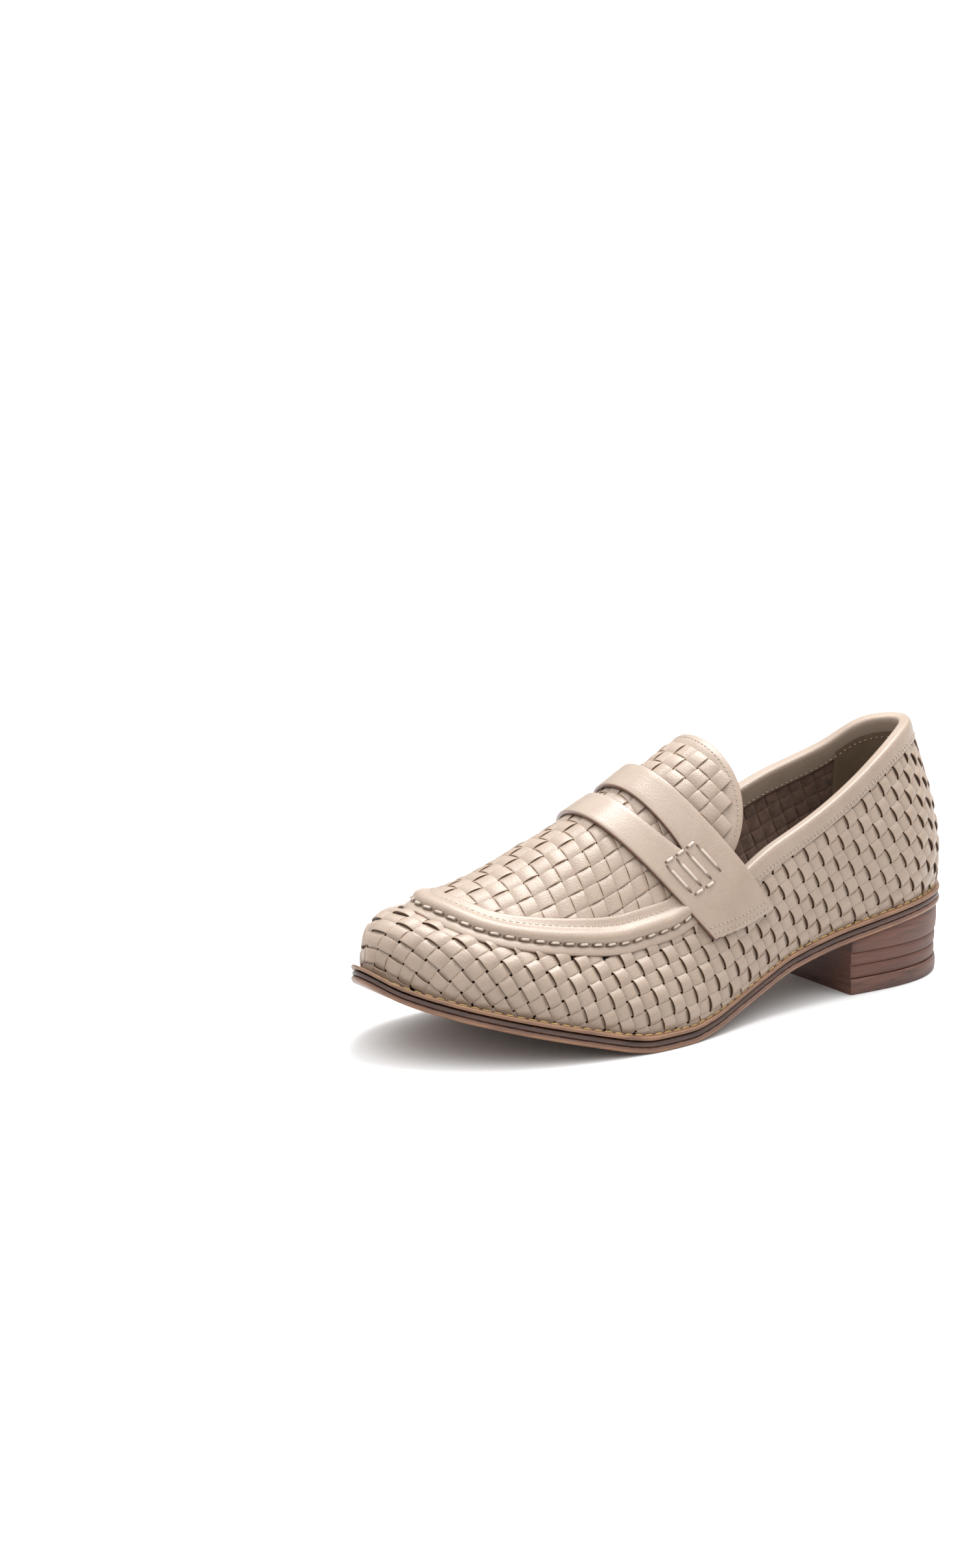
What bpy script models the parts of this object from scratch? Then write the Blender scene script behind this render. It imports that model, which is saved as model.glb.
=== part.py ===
"""Woven penny loafer for the left foot, in metres.

+Z is up, the toe points to -Y and the outer side of the foot is +X. The origin is
on the floor, under the middle of the sole. Every section table holds shares of the
named sizes, so the whole last follows them.
"""
from collections import namedtuple

import bmesh
import bpy
import numpy as np
from mathutils import Vector
from mathutils.geometry import delaunay_2d_cdt

# Sizes of the last and the sole
SOLE_LENGTH = 0.2545
BALL_WIDTH = 0.0933
HEEL_RISE = 0.0272
TOE_SPRING = 0.0275
BACK_HEIGHT = 0.0640
INSTEP_RISE = 0.0470

# Layers under the foot
WELT = 0.0015
MIDSOLE = 0.0017
OUTSOLE = 0.0020
INSOLE = 0.0028
GAP = 0.0003
LAYER_GAP = 0.0005
WELT_REACH_HEEL = 0.0029
WELT_REACH_WAIST = 0.0018
WELT_REACH_TOE = 0.0044
WELT_LAP = 0.0080
MIDSOLE_STEP = 0.0004
HEEL_BREAST = 0.0590
TOP_LIFT = 0.0060
HEEL_LIFT = 0.0048
HEEL_STEPS = {"top_lift": 0.0010, "heel_lift_1": 0.0016, "heel_lift_2": 0.0014, "heel_wedge": 0.0009}

# Leather of the upper
WALL = 0.0016
STRIP_RISE = 0.0007
PITCH = 0.0057
APRON_PITCH = 0.0066
WEAVE_FOOT_MARGIN = 0.0018
LEATHER = 0.0012

# Binding, back strip and apron border
BINDING_DROP = 0.0078
BORDER_REACH = 0.0140
BORDER_LIP = 0.0012
BORDER_BEAD = 0.0030
OVERLAY_BED = 0.0005
STRIP_TOP_HALF = 0.0075
STRIP_FOOT_HALF = 0.0210

# Strap over the instep, and the tongue behind it
STRAP_FRONT = 0.6330
STRAP_WIDTH = 0.1094
STRAP_TILT_FRONT = 36.0
STRAP_TILT_REAR = 32.0
STRAP_HALF_FRONT = 0.0668
STRAP_HALF_REAR = 0.0720
STRAP_LEATHER = 0.0018
STRAP_BED = 0.0010
SLOT_HALF = 0.0330
SLOT_WIDTH = 0.0062
TONGUE_HALF = 0.0465
TONGUE_LENGTH = 0.0255
TONGUE_SKEW = 0.0090
TONGUE_TUCK = 0.0120
TONGUE_RISE = 0.0050
TONGUE_LEATHER = 0.0018
TONGUE_BORDER = 0.0050
TONGUE_SLOPE = 27.0
TONGUE_FLAT = 0.80

# Steps of the faceted surfaces
RING_STEPS = 72
RING_CROWDING = 0.30
SLAB_GRID = 0.0130
TOE_BEND = 0.86

Section = namedtuple("Section", "along across top_along top_across top_rise foot_up belly shoulder drop")
# A row for each section round the foot: heel, outer side, toe, inner side. along is a
# share of SOLE_LENGTH from the back, across of BALL_WIDTH, top_rise of BACK_HEIGHT. The last
# four shape the wall between foot and top, as shares of its height.
SECTIONS = [
    Section(0.000, -0.039, 0.053, -0.044, 0.992, 0.35, 0.080, 0.100, 0.33),
    Section(0.036, 0.170, 0.086, 0.084, 0.982, 0.35, 0.080, 0.095, 0.33),
    Section(0.123, 0.282, 0.149, 0.175, 0.918, 0.35, 0.060, 0.065, 0.33),
    Section(0.257, 0.298, 0.271, 0.245, 0.752, 0.35, 0.030, 0.060, 0.33),
    Section(0.334, 0.323, 0.356, 0.278, 0.675, 0.35, 0.030, 0.060, 0.33),
    Section(0.412, 0.363, 0.440, 0.315, 0.628, 0.35, 0.040, 0.070, 0.33),
    Section(0.535, 0.459, 0.546, 0.347, 0.502, 0.40, 0.070, 0.130, 0.32),
    Section(0.628, 0.500, 0.633, 0.347, 0.448, 0.42, 0.050, 0.180, 0.28),
    Section(0.731, 0.475, 0.731, 0.325, 0.391, 0.44, 0.060, 0.220, 0.24),
    Section(0.831, 0.395, 0.817, 0.261, 0.351, 0.48, 0.060, 0.320, 0.18),
    Section(0.914, 0.256, 0.870, 0.154, 0.321, 0.52, 0.050, 0.450, 0.10),
    Section(0.976, 0.079, 0.898, 0.014, 0.286, 0.56, 0.040, 0.650, 0.03),
    Section(1.000, -0.103, 0.906, -0.114, 0.245, 0.60, 0.030, 0.850, 0.00),
    Section(0.969, -0.264, 0.886, -0.232, 0.300, 0.56, 0.040, 0.650, 0.03),
    Section(0.912, -0.409, 0.849, -0.318, 0.339, 0.52, 0.050, 0.400, 0.12),
    Section(0.827, -0.479, 0.782, -0.377, 0.394, 0.46, 0.060, 0.260, 0.20),
    Section(0.731, -0.500, 0.711, -0.404, 0.508, 0.42, 0.060, 0.180, 0.26),
    Section(0.618, -0.446, 0.613, -0.409, 0.675, 0.38, 0.060, 0.130, 0.30),
    Section(0.463, -0.339, 0.468, -0.371, 0.714, 0.35, 0.060, 0.090, 0.33),
    Section(0.340, -0.318, 0.342, -0.345, 0.665, 0.35, 0.050, 0.070, 0.33),
    Section(0.226, -0.345, 0.232, -0.329, 0.747, 0.35, 0.040, 0.060, 0.33),
    Section(0.123, -0.361, 0.138, -0.264, 0.839, 0.35, 0.050, 0.060, 0.33),
    Section(0.036, -0.243, 0.086, -0.168, 0.963, 0.35, 0.080, 0.095, 0.33),
]
TOE_ROW = 12
# Turn of the weave against the wall's level direction at each row and back at the first, in degrees
WEAVE_TURNS = (21, 21, 21, 19, 16, 13, 11, 11, 13, 24, 50, 78, 95, 110, 128, 145, 156, 163, 165, 164, 161, 159, 159,
               159)
# Share of the wall's depth at which the flat sheet keeps its length
SHEET_KEEPS = 0.72
# Rows between which each line is looked for
OUTER_ROWS = (3, 10)
INNER_ROWS = (20, 14)
# Depths of the corners down the back seam, as shares of the wall
BACK_SHARES = np.linspace(0.0, 1.0, 11)

Tread = namedtuple("Tread", "along heel toe")
# Underside of the sole: shares of HEEL_RISE and of TOE_SPRING
TREAD = [
    Tread(0.000, 1.000, 0.000),
    Tread(0.061, 0.980, 0.000),
    Tread(0.123, 0.930, 0.000),
    Tread(0.205, 0.820, 0.000),
    Tread(0.276, 0.710, 0.000),
    Tread(0.358, 0.560, 0.000),
    Tread(0.409, 0.400, 0.000),
    Tread(0.471, 0.215, 0.000),
    Tread(0.532, 0.055, 0.000),
    Tread(0.573, 0.000, 0.000),
    Tread(0.640, 0.000, 0.000),
    Tread(0.678, 0.000, 0.048),
    Tread(0.716, 0.000, 0.135),
    Tread(0.788, 0.000, 0.305),
    Tread(0.860, 0.000, 0.480),
    Tread(0.921, 0.000, 0.644),
    Tread(0.972, 0.000, 0.822),
    Tread(1.000, 0.000, 1.000),
]

Ridge = namedtuple("Ridge", "along across rise outer_round inner_round")
# Highest line over instep and apron: rise over the outer seam, a share of INSTEP_RISE
RIDGE = [
    Ridge(0.358, -0.028, 0.850, 1.70, 2.40),
    Ridge(0.468, -0.028, 0.950, 1.70, 2.50),
    Ridge(0.527, -0.039, 1.000, 1.75, 2.60),
    Ridge(0.637, -0.039, 0.850, 1.90, 2.45),
    Ridge(0.699, -0.050, 0.705, 1.90, 2.45),
    Ridge(0.750, -0.061, 0.555, 1.90, 2.30),
    Ridge(0.809, -0.077, 0.385, 1.90, 2.20),
    Ridge(0.857, -0.093, 0.245, 1.90, 2.10),
    Ridge(0.892, -0.109, 0.095, 1.90, 2.00),
    Ridge(0.906, -0.114, 0.000, 1.90, 2.00),
]
ROOF_SOFTNESS = 0.15

COLOURS = {
    "cream": (0.66, 0.55, 0.43),
    "cut edge": (0.28, 0.17, 0.12),
    "dark sole": (0.12, 0.07, 0.06),
    "tan sole": (0.40, 0.22, 0.12),
    "welt": (0.42, 0.30, 0.19),
    "heel": (0.24, 0.12, 0.08),
    "lining": (0.24, 0.16, 0.11),
}


def monotone(xs, ys):
    """Curve through a table that never overshoots its rows."""
    xs, ys = np.asarray(xs, float), np.asarray(ys, float)
    width = np.diff(xs)
    slope = np.diff(ys) / width
    grade = np.zeros(len(xs))
    for i in range(1, len(xs) - 1):
        if slope[i - 1] * slope[i] > 0:
            left, right = width[i - 1], width[i]
            one, two = 2 * right + left, right + 2 * left
            grade[i] = (one + two) / (one / slope[i - 1] + two / slope[i])
    grade[0], grade[-1] = slope[0], slope[-1]

    def curve(x):
        x = np.clip(x, xs[0], xs[-1])
        i = np.clip(np.searchsorted(xs, x, side="right") - 1, 0, len(xs) - 2)
        t = (x - xs[i]) / width[i]
        return (ys[i] * (1 + 2 * t) * (1 - t) ** 2 + grade[i] * width[i] * t * (1 - t) ** 2
                + ys[i + 1] * t * t * (3 - 2 * t) + grade[i + 1] * width[i] * t * t * (t - 1))

    return curve


def closed_curve(knots, rows):
    """Smooth closed curve through the rows of a table, over one turn from 0 to 1."""
    rows = np.asarray(rows, float)
    count = len(rows)
    step = np.diff(np.append(knots, knots[0] + 1.0))
    matrix = np.zeros((count, count))
    right = np.zeros_like(rows)
    for i in range(count):
        before, after = (i - 1) % count, (i + 1) % count
        matrix[i, before] += step[before]
        matrix[i, i] += 2 * (step[before] + step[i])
        matrix[i, after] += step[i]
        right[i] = 6 * ((rows[after] - rows[i]) / step[i] - (rows[i] - rows[before]) / step[before])
    bend = np.linalg.solve(matrix, right)

    def curve(s):
        s = np.mod(np.atleast_1d(s), 1.0)
        i = np.clip(np.searchsorted(knots, s, side="right") - 1, 0, count - 1)
        after = (i + 1) % count
        h = step[i][:, None]
        b = (s - knots[i])[:, None] / h
        a = 1 - b
        return (a * rows[i] + b * rows[after]
                + ((a ** 3 - a) * bend[i] + (b ** 3 - b) * bend[after]) * h * h / 6)

    return curve


EDGE_XY = np.array([((row.across * BALL_WIDTH), (0.5 - row.along) * SOLE_LENGTH) for row in SECTIONS])
CHORDS = np.linalg.norm(np.roll(EDGE_XY, -1, axis=0) - EDGE_XY, axis=1)
PERIMETER = CHORDS.sum()
KNOTS = np.concatenate([[0.0], np.cumsum(CHORDS)[:-1]]) / PERIMETER
TOE = KNOTS[TOE_ROW]
outline = closed_curve(KNOTS, EDGE_XY)
top_plan = closed_curve(KNOTS, [(row.top_across * BALL_WIDTH, (0.5 - row.top_along) * SOLE_LENGTH)
                                for row in SECTIONS])
wall_shape = closed_curve(KNOTS, [(row.top_rise, row.foot_up, row.belly, row.shoulder, row.drop)
                                  for row in SECTIONS])
reach_curve = monotone([0.0, 0.20, 0.45, 0.70, 1.0], [WELT_REACH_HEEL, WELT_REACH_HEEL, WELT_REACH_WAIST,
                                                     WELT_REACH_TOE, WELT_REACH_TOE])
heel_tread = monotone([row.along for row in TREAD], [row.heel for row in TREAD])
toe_tread = monotone([row.along for row in TREAD], [row.toe for row in TREAD])
ridge_across = monotone([row.along for row in RIDGE], [row.across for row in RIDGE])
ridge_rise = monotone([row.along for row in RIDGE], [row.rise for row in RIDGE])
outer_round = monotone([row.along for row in RIDGE], [row.outer_round for row in RIDGE])
inner_round = monotone([row.along for row in RIDGE], [row.inner_round for row in RIDGE])


def along(y):
    return 0.5 - y / SOLE_LENGTH


def tread(y):
    """Underside of the outsole."""
    return heel_tread(along(y)) * HEEL_RISE + toe_tread(along(y)) * TOE_SPRING


def outsole_top(y):
    return tread(y) + OUTSOLE


def midsole_top(y):
    return outsole_top(y) + LAYER_GAP + MIDSOLE


def welt_top(y):
    return midsole_top(y) + LAYER_GAP + WELT


def outward(curve, s):
    """Plan direction that points out of a closed plan curve."""
    run = curve(s + 1e-4) - curve(s - 1e-4)
    run /= np.linalg.norm(run, axis=1)[:, None]
    return np.column_stack([-run[:, 1], run[:, 0]])


def sole_edge(s, inset):
    s = np.atleast_1d(s)
    return outline(s) - outward(outline, s) * np.reshape(inset, (-1, 1))


def welt_reach(s):
    """How far the welt stands out past the wall: least at the waist."""
    return reach_curve(along(outline(s)[:, 1]))


def top_edge(s):
    """Topline of the quarters and, further forward, the seam of the apron."""
    plan = top_plan(s)
    return np.column_stack([plan, welt_top(outline(s)[:, 1]) + wall_shape(s)[:, 0] * BACK_HEIGHT])


def wall_skin(s, t):
    """Outer face of the wall, from the welt at t=0 to its top edge at t=1."""
    s, t = np.broadcast_arrays(np.atleast_1d(s), np.atleast_1d(t))
    plan = sole_edge(s, welt_reach(s))
    foot = np.column_stack([plan, welt_top(plan[:, 1]) + GAP])
    top = top_edge(s)
    side = np.column_stack([outward(outline, s), np.zeros(len(s))])
    up = np.array([[0.0, 0.0, 1.0]])
    _, foot_up, belly, shoulder, drop = wall_shape(s).T[:, :, None]
    tall = (top[:, 2] - foot[:, 2])[:, None]
    low = foot + up * foot_up * tall + side * belly * tall
    high = top - up * drop * tall + side * shoulder * tall
    t = t[:, None]
    return foot * (1 - t) ** 3 + 3 * low * t * (1 - t) ** 2 + 3 * high * t * t * (1 - t) + top * t ** 3


def unit(vectors):
    return vectors / np.linalg.norm(vectors, axis=-1, keepdims=True)


def wall_normal(s, t):
    s, t = np.broadcast_arrays(np.atleast_1d(s).astype(float), np.atleast_1d(t).astype(float))
    rise = wall_skin(s, t + 1e-3) - wall_skin(s, t - 1e-3)
    run = wall_skin(s + 2e-4, t) - wall_skin(s - 2e-4, t)
    return unit(np.cross(rise, run))


def wall_depth(s, steps=24):
    """Shares t and depths below the top edge, for each s."""
    ts = np.linspace(1.0, 0.0, steps)
    points = np.stack([wall_skin(s, t) for t in ts], axis=1)
    legs = np.linalg.norm(np.diff(points, axis=1), axis=2)
    depth = np.concatenate([np.zeros((len(legs), 1)), np.cumsum(legs, axis=1)], axis=1)
    return ts, depth


def wall_at(s, depth, out=0.0):
    """Point on the wall at a depth below its top edge, lifted out of its face."""
    s, depth = np.broadcast_arrays(np.atleast_1d(s).astype(float), np.atleast_1d(depth).astype(float))
    ts, table = wall_depth(s)
    t = np.array([np.interp(d, row, ts) for d, row in zip(depth, table)])
    over = np.minimum(depth, 0.0)[:, None]
    return wall_skin(s, t) + wall_normal(s, t) * np.reshape(out, (-1, 1)) - over * np.array([[0.0, 0.0, 1.0]])


def seam_tables():
    """Plan places and heights of the top edge on both sides, by y."""
    outer = top_edge(np.linspace(0.02, TOE, 400))
    inner = top_edge(np.linspace(0.98, TOE, 400))
    return outer[::-1], inner[::-1]


SEAM_OUTER, SEAM_INNER = seam_tables()
APRON_TIP = top_edge(TOE)[0]


def plug_height(x, y):
    """Height of the plug, a soft roof between the two seams."""
    outer_x, outer_z = (np.interp(y, SEAM_OUTER[:, 1], SEAM_OUTER[:, k]) for k in (0, 2))
    inner_x, inner_z = (np.interp(y, SEAM_INNER[:, 1], SEAM_INNER[:, k]) for k in (0, 2))
    share = along(y)
    middle = ridge_across(share) * BALL_WIDTH
    crest = outer_z + ridge_rise(share) * INSTEP_RISE
    side_x = np.where(x > middle, outer_x, inner_x)
    side_z = np.where(x > middle, outer_z, inner_z)
    span = side_x - middle
    span = np.where(np.abs(span) < 1e-5, 1e-5, span)
    u = np.clip((x - middle) / span, 0.0, 1.3)
    power = np.where(x > middle, outer_round(share), inner_round(share))
    soft = ROOF_SOFTNESS ** power
    roof = ((u * u + ROOF_SOFTNESS ** 2) ** (power / 2) - soft) / ((1 + ROOF_SOFTNESS ** 2) ** (power / 2) - soft)
    return side_z + (crest - side_z) * (1 - roof)


def plug_at(x, y, out=0.0):
    """Point over the plug, lifted out of its face."""
    x, y = np.broadcast_arrays(np.atleast_1d(x).astype(float), np.atleast_1d(y).astype(float))
    step = 4e-4
    slope_x = (plug_height(x + step, y) - plug_height(x - step, y)) / (2 * step)
    slope_y = (plug_height(x, y + step) - plug_height(x, y - step)) / (2 * step)
    normal = unit(np.column_stack([-slope_x, -slope_y, np.ones(len(x))]))
    return np.column_stack([x, y, plug_height(x, y)]) + normal * np.reshape(out, (-1, 1))


def flank(s, b):
    """Wall for b from 0 to 1, then the plug from its seam up to the ridge at b=2."""
    s, b = np.broadcast_arrays(np.atleast_1d(s).astype(float), np.atleast_1d(b).astype(float))
    wall = wall_skin(s, np.minimum(b, 1.0))
    top = top_edge(s)
    share = np.clip(b - 1.0, 0.0, 1.0)
    middle = ridge_across(along(top[:, 1])) * BALL_WIDTH
    x = top[:, 0] + (middle - top[:, 0]) * share
    plug = np.column_stack([x, top[:, 1], plug_height(x, top[:, 1])])
    return np.where((b > 1.0)[:, None], plug, wall)


def crossing(path, s, plane):
    """The s at which a path of points first passes a plane."""
    point, normal = plane
    side = (path(s) - point) @ normal
    for i in range(len(s) - 1):
        if side[i] * side[i + 1] <= 0:
            return s[i] + (s[i + 1] - s[i]) * side[i] / (side[i] - side[i + 1])
    return s[-1] if abs(side[-1]) < abs(side[0]) else s[0]


def girth_plane(share, tilt):
    """Plane across the instep, through the ridge at this share of the length."""
    y = (0.5 - share) * SOLE_LENGTH
    x = ridge_across(share) * BALL_WIDTH
    angle = np.radians(tilt)
    return np.array([x, y, plug_height(x, y)]), np.array([0.0, np.cos(angle), np.sin(angle)])


GIRTH_B = np.concatenate([np.linspace(0.25, 1.0, 7), np.linspace(1.08, 2.0, 13)])
OUTER_SPAN = np.linspace(KNOTS[OUTER_ROWS[0]], KNOTS[OUTER_ROWS[1]], 160)
INNER_SPAN = np.linspace(KNOTS[INNER_ROWS[0]], KNOTS[INNER_ROWS[1]], 160)


def girth(plane):
    """Line over both walls and the plug where a plane cuts them, outer side first."""
    outer = [flank(crossing(lambda s: flank(s, b), OUTER_SPAN, plane), b)[0] for b in GIRTH_B]
    inner = [flank(crossing(lambda s: flank(s, b), INNER_SPAN, plane), b)[0] for b in GIRTH_B]
    return np.array(outer + inner[-2::-1])


def from_ridge(line, ridge_index):
    """Signed lengths along a line, with zero at the ridge and plus on the outer side."""
    legs = np.linalg.norm(np.diff(line, axis=0), axis=1)
    length = np.concatenate([[0.0], np.cumsum(legs)])
    return length[ridge_index] - length


def girth_grid(planes, lengths):
    """Rows of points at the same lengths from the ridge, one row for each plane."""
    rows = []
    for plane in planes:
        line = girth(plane)
        place = from_ridge(line, len(GIRTH_B) - 1)
        rows.append(np.column_stack([np.interp(lengths, place[::-1], line[::-1, k]) for k in range(3)]))
    return np.array(rows)


def soften(grid, turns):
    """Round the bends of each row a little, with its ends kept."""
    for _ in range(turns):
        middle = (grid[:, :-2] + 2 * grid[:, 1:-1] + grid[:, 2:]) / 4
        grid = np.concatenate([grid[:, :1], middle, grid[:, -1:]], axis=1)
    return grid


class Drape:
    """A grid of points read as a surface over u (along its rows) and v (over its rows)."""

    def __init__(self, grid, us, vs):
        self.grid, self.us, self.vs = grid, us, vs

    def skin(self, u, v):
        i = np.clip(np.searchsorted(self.us, u) - 1, 0, len(self.us) - 2)
        j = np.clip(np.searchsorted(self.vs, v) - 1, 0, len(self.vs) - 2)
        a = ((u - self.us[i]) / (self.us[i + 1] - self.us[i]))[:, None]
        b = ((v - self.vs[j]) / (self.vs[j + 1] - self.vs[j]))[:, None]
        near = self.grid[j, i] * (1 - a) + self.grid[j, i + 1] * a
        far = self.grid[j + 1, i] * (1 - a) + self.grid[j + 1, i + 1] * a
        return near * (1 - b) + far * b

    def at(self, uv, out):
        u, v = np.asarray(uv, float).T
        step = 0.0012
        run = self.skin(u + step, v) - self.skin(u - step, v)
        rise = self.skin(u, v + step) - self.skin(u, v - step)
        normal = unit(np.cross(run, rise))
        return self.skin(u, v) + normal * np.reshape(out, (-1, 1))


def inside(points, loop):
    """True for each plan point that a closed loop holds."""
    x, y = np.asarray(points, float).T
    hit = np.zeros(len(x), bool)
    for (x1, y1), (x2, y2) in zip(loop, np.roll(loop, -1, axis=0)):
        over = (y1 > y) != (y2 > y)
        slope = (x2 - x1) / (y2 - y1) if y2 != y1 else 0.0
        hit ^= over & (x < (y - y1) * slope + x1)
    return hit


def triangulate(loops, extra=(), extra_edges=()):
    """Triangles between an outer loop and its holes, through the extra points."""
    points, edges = [], []
    for loop in loops:
        first = len(points)
        points.extend(map(tuple, loop))
        edges.extend((first + i, first + (i + 1) % len(loop)) for i in range(len(loop)))
    first = len(points)
    points.extend(map(tuple, extra))
    edges.extend((first + a, first + b) for a, b in extra_edges)
    found = delaunay_2d_cdt([Vector(p) for p in points], edges, [], 1, 1e-9)
    plan = np.array([tuple(p) for p in found[0]])
    faces = np.array(found[2])
    centres = plan[faces].mean(axis=1)
    keep = np.ones(len(faces), bool)
    for hole in loops[1:]:
        keep &= ~inside(centres, hole)
    return plan, faces[keep]


def grid_inside(loops, step, margin, rows=None):
    """Grid of points inside a loop and clear of its edge and holes, on its own rows or on those given."""
    low, high = loops[0].min(axis=0), loops[0].max(axis=0)
    xs = np.arange(np.floor(low[0] / step), high[0] / step + 1) * step
    ys = np.arange(np.floor(low[1] / step), high[1] / step + 1) * step if rows is None else rows
    points = np.array([(x, y) for y in ys for x in xs])
    keep = inside(points, loops[0])
    for loop in loops:
        legs = np.linspace(loop, np.roll(loop, -1, axis=0), 4)[:3].reshape(-1, 2)
        apart = np.linalg.norm(points[:, None] - legs[None], axis=2).min(axis=1)
        keep &= apart > margin
    for hole in loops[1:]:
        keep &= ~inside(points, hole)
    return points[keep]


def border_edges(faces):
    """Edges that only one triangle uses, each in its triangle's direction."""
    edges = {}
    for a, b, c in faces:
        for one, two in ((a, b), (b, c), (c, a)):
            edges[(one, two)] = True
    return [(one, two) for one, two in edges if (two, one) not in edges]


class Soup:
    """Faces gathered piece by piece, then joined where their corners meet."""

    def __init__(self):
        self.points, self.faces = [], []

    def add(self, points, faces):
        first = len(self.points)
        self.points.extend(map(tuple, points))
        self.faces.extend(tuple(int(first + i) for i in face) for face in faces)

    def strip(self, low, high):
        """Quads between two lines with as many points."""
        points = np.concatenate([low, high])
        count = len(low)
        faces = [(i, i + 1, count + i + 1, count + i) for i in range(count - 1)]
        self.add(points, faces)

    def slab(self, plan, faces, place, low, high):
        """Both faces and the rim of a patch between two levels."""
        self.add(place(plan, high), faces)
        self.add(place(plan, low), faces[:, ::-1])
        upper, lower = place(plan, high), place(plan, low)
        for a, b in border_edges(faces):
            self.add([upper[a], lower[a], lower[b], upper[b]], [(0, 1, 2, 3)])


def material(name):
    found = bpy.data.materials.get(name)
    if found:
        return found
    made = bpy.data.materials.new(name)
    made.use_nodes = True
    shader = made.node_tree.nodes["Principled BSDF"]
    shader.inputs["Base Color"].default_value = (*COLOURS[name], 1.0)
    shader.inputs["Roughness"].default_value = 0.5
    shader.inputs["Metallic"].default_value = 0.0
    made.diffuse_color = (*COLOURS[name], 1.0)
    return made


def make(name, soup, colour, smooth_angle=0.6):
    """Turn the gathered faces into one closed object."""
    mesh = bpy.data.meshes.new(name)
    mesh.from_pydata(soup.points, [], soup.faces)
    work = bmesh.new()
    work.from_mesh(mesh)
    bmesh.ops.remove_doubles(work, verts=work.verts, dist=2e-6)
    bmesh.ops.dissolve_degenerate(work, edges=work.edges, dist=1e-7)
    bmesh.ops.recalc_face_normals(work, faces=work.faces)
    if work.calc_volume(signed=True) < 0:
        bmesh.ops.reverse_faces(work, faces=work.faces)
    work.to_mesh(mesh)
    work.free()
    mesh.shade_smooth()
    mesh.set_sharp_from_angle(angle=smooth_angle)
    mesh.materials.append(material(colour))
    thing = bpy.data.objects.new(name, mesh)
    collection.objects.link(thing)
    return thing


def woven(cells, place, rise):
    """Six triangles for each crossing, the strip on top raised over its middle.

    cells maps (column, row) to its four plan corners. Where column and row add up to an
    even number, the strip that runs along the columns is on top.
    """
    points, faces = [], []
    for (column, row), corners in cells.items():
        a, b, c, d = corners if (column + row) % 2 == 0 else np.roll(corners, -1, axis=0)
        first = len(points)
        low, high = (a + b) / 2, (d + c) / 2
        points += [(*a, 0.0), (*b, 0.0), (*c, 0.0), (*d, 0.0)]
        points += [(*(low + (high - low) * 0.09), rise), (*(high + (low - high) * 0.09), rise)]
        faces += [(first + i, first + j, first + k) for i, j, k in
                  ((0, 4, 5), (0, 5, 3), (1, 2, 5), (1, 5, 4), (0, 1, 4), (3, 5, 2))]
    points = np.array(points)
    return place(points[:, :2], points[:, 2]), faces


def weave_patch(soup, loop, cells, place, rise, rim_points=()):
    """Woven cells, and the smooth margin between them and the loop of the patch.

    rim_points are the exact places of the first corners of the loop, where another patch joins.
    """
    soup.add(*woven(cells, place, rise))
    sides = {}
    for (i, j) in cells:
        for one, two in (((i, j), (i + 1, j)), ((i + 1, j), (i + 1, j + 1)),
                         ((i + 1, j + 1), (i, j + 1)), ((i, j + 1), (i, j))):
            sides[(one, two)] = True
    rim = [(one, two) for one, two in sides if (two, one) not in sides]
    nodes = sorted({node for pair in rim for node in pair})
    number = {node: k for k, node in enumerate(nodes)}
    corner = {}
    for (i, j), corners in cells.items():
        for node, point in zip(((i, j), (i + 1, j), (i + 1, j + 1), (i, j + 1)), corners):
            corner[node] = point
    plan, faces = triangulate([loop], [corner[node] for node in nodes],
                              [(number[one], number[two]) for one, two in rim])
    centres = plan[faces].mean(axis=1)
    keep = np.ones(len(faces), bool)
    for corners in cells.values():
        near = np.linalg.norm(centres - corners.mean(axis=0), axis=1) < 3 * PITCH
        if near.any():
            keep[np.flatnonzero(near)[inside(centres[near], corners)]] = False
    margin = place(plan, np.zeros(len(plan)))
    margin[:len(rim_points)] = np.reshape(rim_points, (-1, 3))
    soup.add(margin, faces[keep])


def cells_of(lattice, allowed):
    """The cells of a lattice whose four corners are all allowed."""
    cells = {}
    for (i, j), point in lattice.items():
        ring = [(i, j), (i + 1, j), (i + 1, j + 1), (i, j + 1)]
        if all(node in lattice and node in allowed for node in ring):
            cells[(i, j)] = np.array([lattice[node] for node in ring])
    return cells


def sheet_turn(s):
    """How far the flat sheet of the wall has turned, in radians: about half a turn round the toe."""
    return np.radians(monotone([*KNOTS, 1.0], WEAVE_TURNS)(s))


SHEET_S = np.linspace(0.0, 1.0, 1201)


def sheet_spine():
    """Line of the flat sheet that keeps its length, laid out in its own plane."""
    step = 0.1 * PITCH
    depth = 2 * SHEET_KEEPS * HALF_DEPTH
    middle = wall_at(SHEET_S, depth)
    upward = unit(wall_at(SHEET_S, depth - step) - wall_at(SHEET_S, depth + step))
    legs = np.diff(middle, axis=0, prepend=middle[:1])
    rise = (legs * upward).sum(axis=1)
    run = np.sqrt(np.maximum((legs ** 2).sum(axis=1) - rise ** 2, 0.0))
    turn = sheet_turn(SHEET_S)
    x = np.cumsum(run * np.cos(turn) - rise * np.sin(turn))
    y = np.cumsum(run * np.sin(turn) + rise * np.cos(turn))
    toe = np.searchsorted(SHEET_S, TOE)
    return np.column_stack([x - x[toe], y - y[toe]])


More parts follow.
